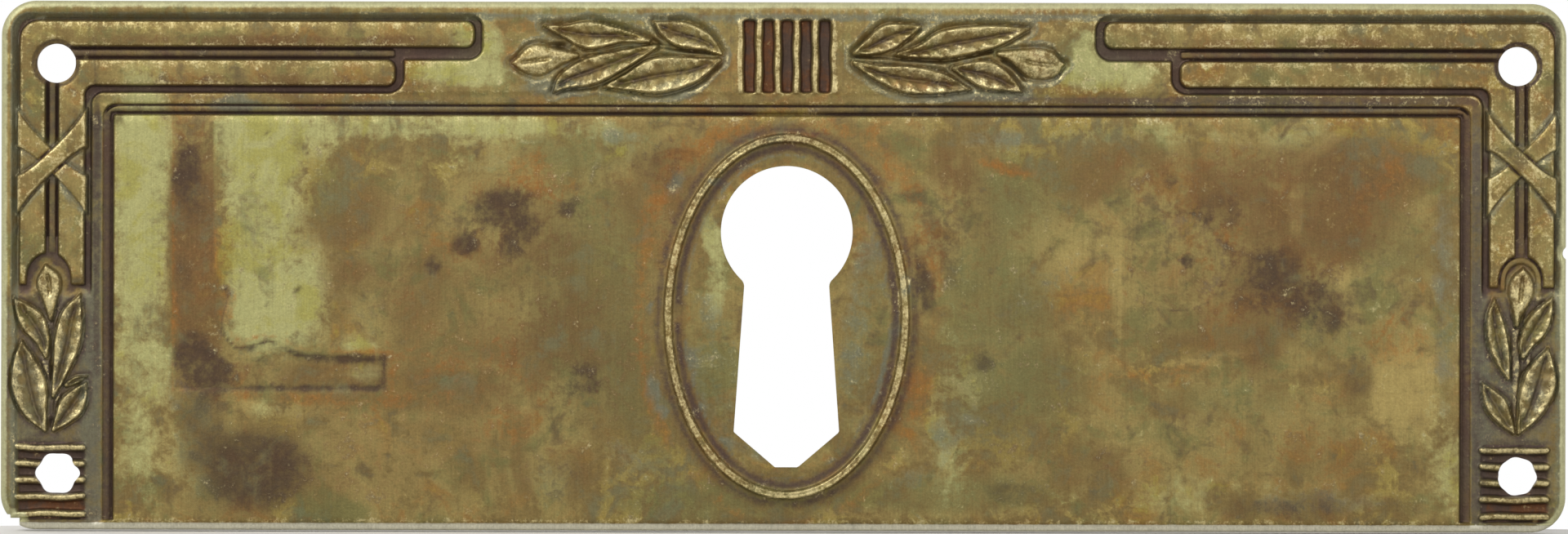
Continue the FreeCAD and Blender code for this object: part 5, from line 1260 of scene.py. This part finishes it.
# %% Layers of patina
# Each layer has a colour, what it follows, where it starts and is full, and how much it covers.
LAYERS = {
    "olive brass": ("#94834f", {"cloud": 0.7, "blotch": 0.4, "mottle": 0.2}, -0.5, 0.5, 1.0),
    "copper bloom": ("#8e6230", {"bloom": 0.8, "blotch": 0.3, "mottle": 0.3}, 0.05, 0.8, 0.62),
    "moss bloom": ("#6c6b40", {"bloom": -0.8, "cloud": 0.3, "mottle": 0.3}, 0.1, 0.8, 0.66),
    "straw blotches": ("#ab9a4f", {"blotch": 0.7, "cloud": -0.6, "mottle": 0.25}, 0.25, 0.95, 0.55),
    "umber blotches": ("#554234", {"blotch": -0.6, "cloud": 0.5, "mottle": 0.25}, 0.25, 0.95, 0.55),
    "gold clouds": ("#a8945a", {"gold": 1.0, "blotch": 0.3, "mottle": 0.2}, 0.2, 1.0, 0.85),
    "olive clouds": ("#6a6a42", {"olive": 1.0, "blotch": 0.3, "bloom": 0.2, "mottle": 0.2}, 0.15, 1.0, 0.75),
    "green clouds": ("#aba870", {"green": 1.0, "cloud": 0.25, "blotch": 0.25, "mottle": 0.2}, 0.25, 1.0, 0.9),
    "yellow green": ("#97903f", {"green": 0.6, "bloom": 0.7, "mottle": 0.25}, 0.45, 1.1, 0.6),
    "brown clouds": ("#6c4e30", {"brown": 1.0, "cloud": -0.25, "blotch": 0.4, "mottle": 0.3},
                     0.35, 1.15, 0.72),
    "rust": ("#94622c", {"rust": 1.0, "bloom": 0.3, "mottle": 0.35}, 0.3, 1.2, 0.75),
    "grey green": ("#6a7258", {"cloud": -0.5, "blotch": -0.5, "mottle": 0.15}, 0.2, 0.9, 0.45),
    "film": ("#707361", {"film": 1.0, "blotch": 0.3, "bloom": 0.15, "mottle": 0.15}, 0.2, 0.95, 0.8),
    # The soot layer is dirt, and along the leaves' veins it is painted shade.
    "soot_and_shade": ("#47382e", {"soot_and_shade": 1.0, "blotch": 0.32, "bloom": 0.15, "mottle": 0.22}, 0.2, 1.15, 0.85),
    # The hollows layer is patina, with painted shade round the side leaves and the upper nail holes.
    "hollows": ("#4a3936", {"hollow": 1.0, "blotch": 0.12, "mottle": 0.14}, 0.12, 0.85, 0.88),
    "red oxide": ("#6e4220", {"red": 1.0, "blotch": 0.5, "mottle": 0.3}, 0.4, 1.3, 0.75),
    # The worn crests are wear, with painted highlights on the leaves' margins and the panel's lower edge.
    "worn crests and painted highlights": ("#cbbb88", {"crest": 1.0, "blotch": 0.35, "mottle": 0.42, "grain": 0.3}, 0.35, 1.3, 0.9),
    # The pale rim is partly wear and partly a painted reflection of the white surround.
    "rim": ("#b7b58c", {"rim": 1.0, "blotch": 0.2, "mottle": 0.15}, 0.1, 0.9, 0.85),
    # Painted light: the pale foot strip along the bottom.
    "painted light on the foot": ("#cbc7b6", {"painted_foot_light": 1.0, "mottle": 0.15}, 0.3, 0.9, 0.85),
}
FACTOR, COLOUR_A, COLOUR_B, COLOUR_OUT = 0, 6, 7, 2
colour, cover = linear(OLD_BRASS), {}
for name, (tint, shares, start, full, most) in LAYERS.items():
    steps = {0: total(shares), 1: start, 2: full, 3: 0.0, 4: most}
    made = node(tree, "ShaderNodeMapRange", steps, interpolation_type="SMOOTHSTEP")
    cover[name] = made.outputs[0]
    inputs = {FACTOR: cover[name], COLOUR_A: colour, COLOUR_B: linear(tint)}
    colour = node(tree, "ShaderNodeMix", inputs, data_type="RGBA").outputs[COLOUR_OUT]
shade = total({"grain": 0.1, "mottle": 0.07, "streak": 0.06}, 0.96)
colour = node(tree, "ShaderNodeVectorMath", {0: colour, "Scale": shade}, operation="SCALE").outputs[0]
gloss = {0: cover["worn crests and painted highlights"], 1: 0.0, 2: 1.0, 3: 0.55, 4: 0.36}
rough = node(tree, "ShaderNodeMapRange", gloss).outputs[0]
bumps = total({"mottle": 0.6, "grain": 0.35, "streak": 0.15, "blotch": 0.5})
bump = node(tree, "ShaderNodeBump", {"Height": bumps, "Strength": 0.5, "Distance": 0.02 * MM}).outputs[0]
tree.links.new(colour, shader.inputs["Base Color"])
tree.links.new(rough, shader.inputs["Roughness"])
tree.links.new(bump, shader.inputs["Normal"])
shader.inputs["Metallic"].default_value = 0.75
mesh.materials.append(brass)
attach(plate, "root")
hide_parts(NODE)
print("material:", brass.name, len(tree.nodes), "nodes")

# %% [markdown]
# The plate was photographed flat on, in even light with a little more from the upper left. A long
# lens far away keeps its edges straight. Behind it all is white, and for other views there is a
# pale floor.

# %% Camera
PIXELS_WIDE, PIXELS_PER_MM = 1920, 19.16
VIEW_WIDTH = PIXELS_WIDE / PIXELS_PER_MM
ROLL = -0.00227
camera = bpy.data.objects.new("camera", bpy.data.cameras.new("camera"))
bpy.context.scene.collection.objects.link(camera)
camera.data.lens = 150
distance = VIEW_WIDTH / camera.data.sensor_width * camera.data.lens * MM
camera.location = (0.026 * MM, -distance - 1.15 * MM, -0.026 * MM)
camera.rotation_euler = (math.pi / 2, ROLL, 0)
camera.data.clip_start, camera.data.clip_end = 0.01, 10
bpy.context.scene.camera = camera
print(f"camera {distance:.3f} m away, {VIEW_WIDTH:.2f} mm wide view")

# %% [markdown]
# Two large soft lamps give the even light of a light tent, the stronger from the upper left. The
# world is white to the camera, and to gloss, and a little dimmer as light, so colours stay true.

# %% Light, floor and background
def lamp(name, place_at, size, strength):
    """A square soft light that faces the plate."""
    light = bpy.data.objects.new(name, bpy.data.lights.new(name, "AREA"))
    light.data.size = size
    light.data.energy = strength
    light.location = place_at
    light.rotation_mode = "QUATERNION"
    light.rotation_quaternion = light.location.to_track_quat("Z", "Y")
    bpy.context.scene.collection.objects.link(light)


lamp("key", (-0.35, -0.45, 0.45), 0.3, 2.4)
lamp("fill", (0.45, -0.5, -0.05), 0.4, 0.8)
world = bpy.data.worlds.new("studio")
world.use_nodes = True
bpy.context.scene.world = world
sky = world.node_tree
background = sky.nodes["Background"]
path = node(sky, "ShaderNodeLightPath", {})
seen = path.outputs["Is Camera Ray"]
for kind in ("Is Glossy Ray", "Is Transmission Ray"):
    seen = node(sky, "ShaderNodeMath", {0: seen, 1: path.outputs[kind]}, operation="MAXIMUM").outputs[0]
strength = node(sky, "ShaderNodeMapRange", {0: seen, 1: 0.0, 2: 1.0, 3: 0.7, 4: 1.0}).outputs[0]
background.inputs["Color"].default_value = (1, 1, 1, 1)
sky.links.new(strength, background.inputs["Strength"])
floor_mesh = bpy.data.meshes.new("floor")
FLOOR_HALF_X, FLOOR_HALF_Y, FLOOR_Y, FLOOR_SIDES = 0.11, 0.06, -0.046, 96
turns = [2 * math.pi * n / FLOOR_SIDES for n in range(FLOOR_SIDES)]
ground = -HALF_HEIGHT * MM - 0.00012
corners = [(FLOOR_HALF_X * math.cos(t), FLOOR_Y + FLOOR_HALF_Y * math.sin(t), ground) for t in turns]
floor_mesh.from_pydata(corners, [], [list(range(FLOOR_SIDES))])
floor = bpy.data.objects.new("floor", floor_mesh)
bpy.context.scene.collection.objects.link(floor)
paper = bpy.data.materials.new("white_card")
paper.use_nodes = True
card = paper.node_tree.nodes["Principled BSDF"]
card.inputs["Base Color"].default_value = linear("#e6e4df")
card.inputs["Roughness"].default_value = 0.9
floor_mesh.materials.append(paper)
scene = bpy.context.scene
scene.view_settings.view_transform = "Standard"
print("two soft lamps, a white surround and a pale floor")
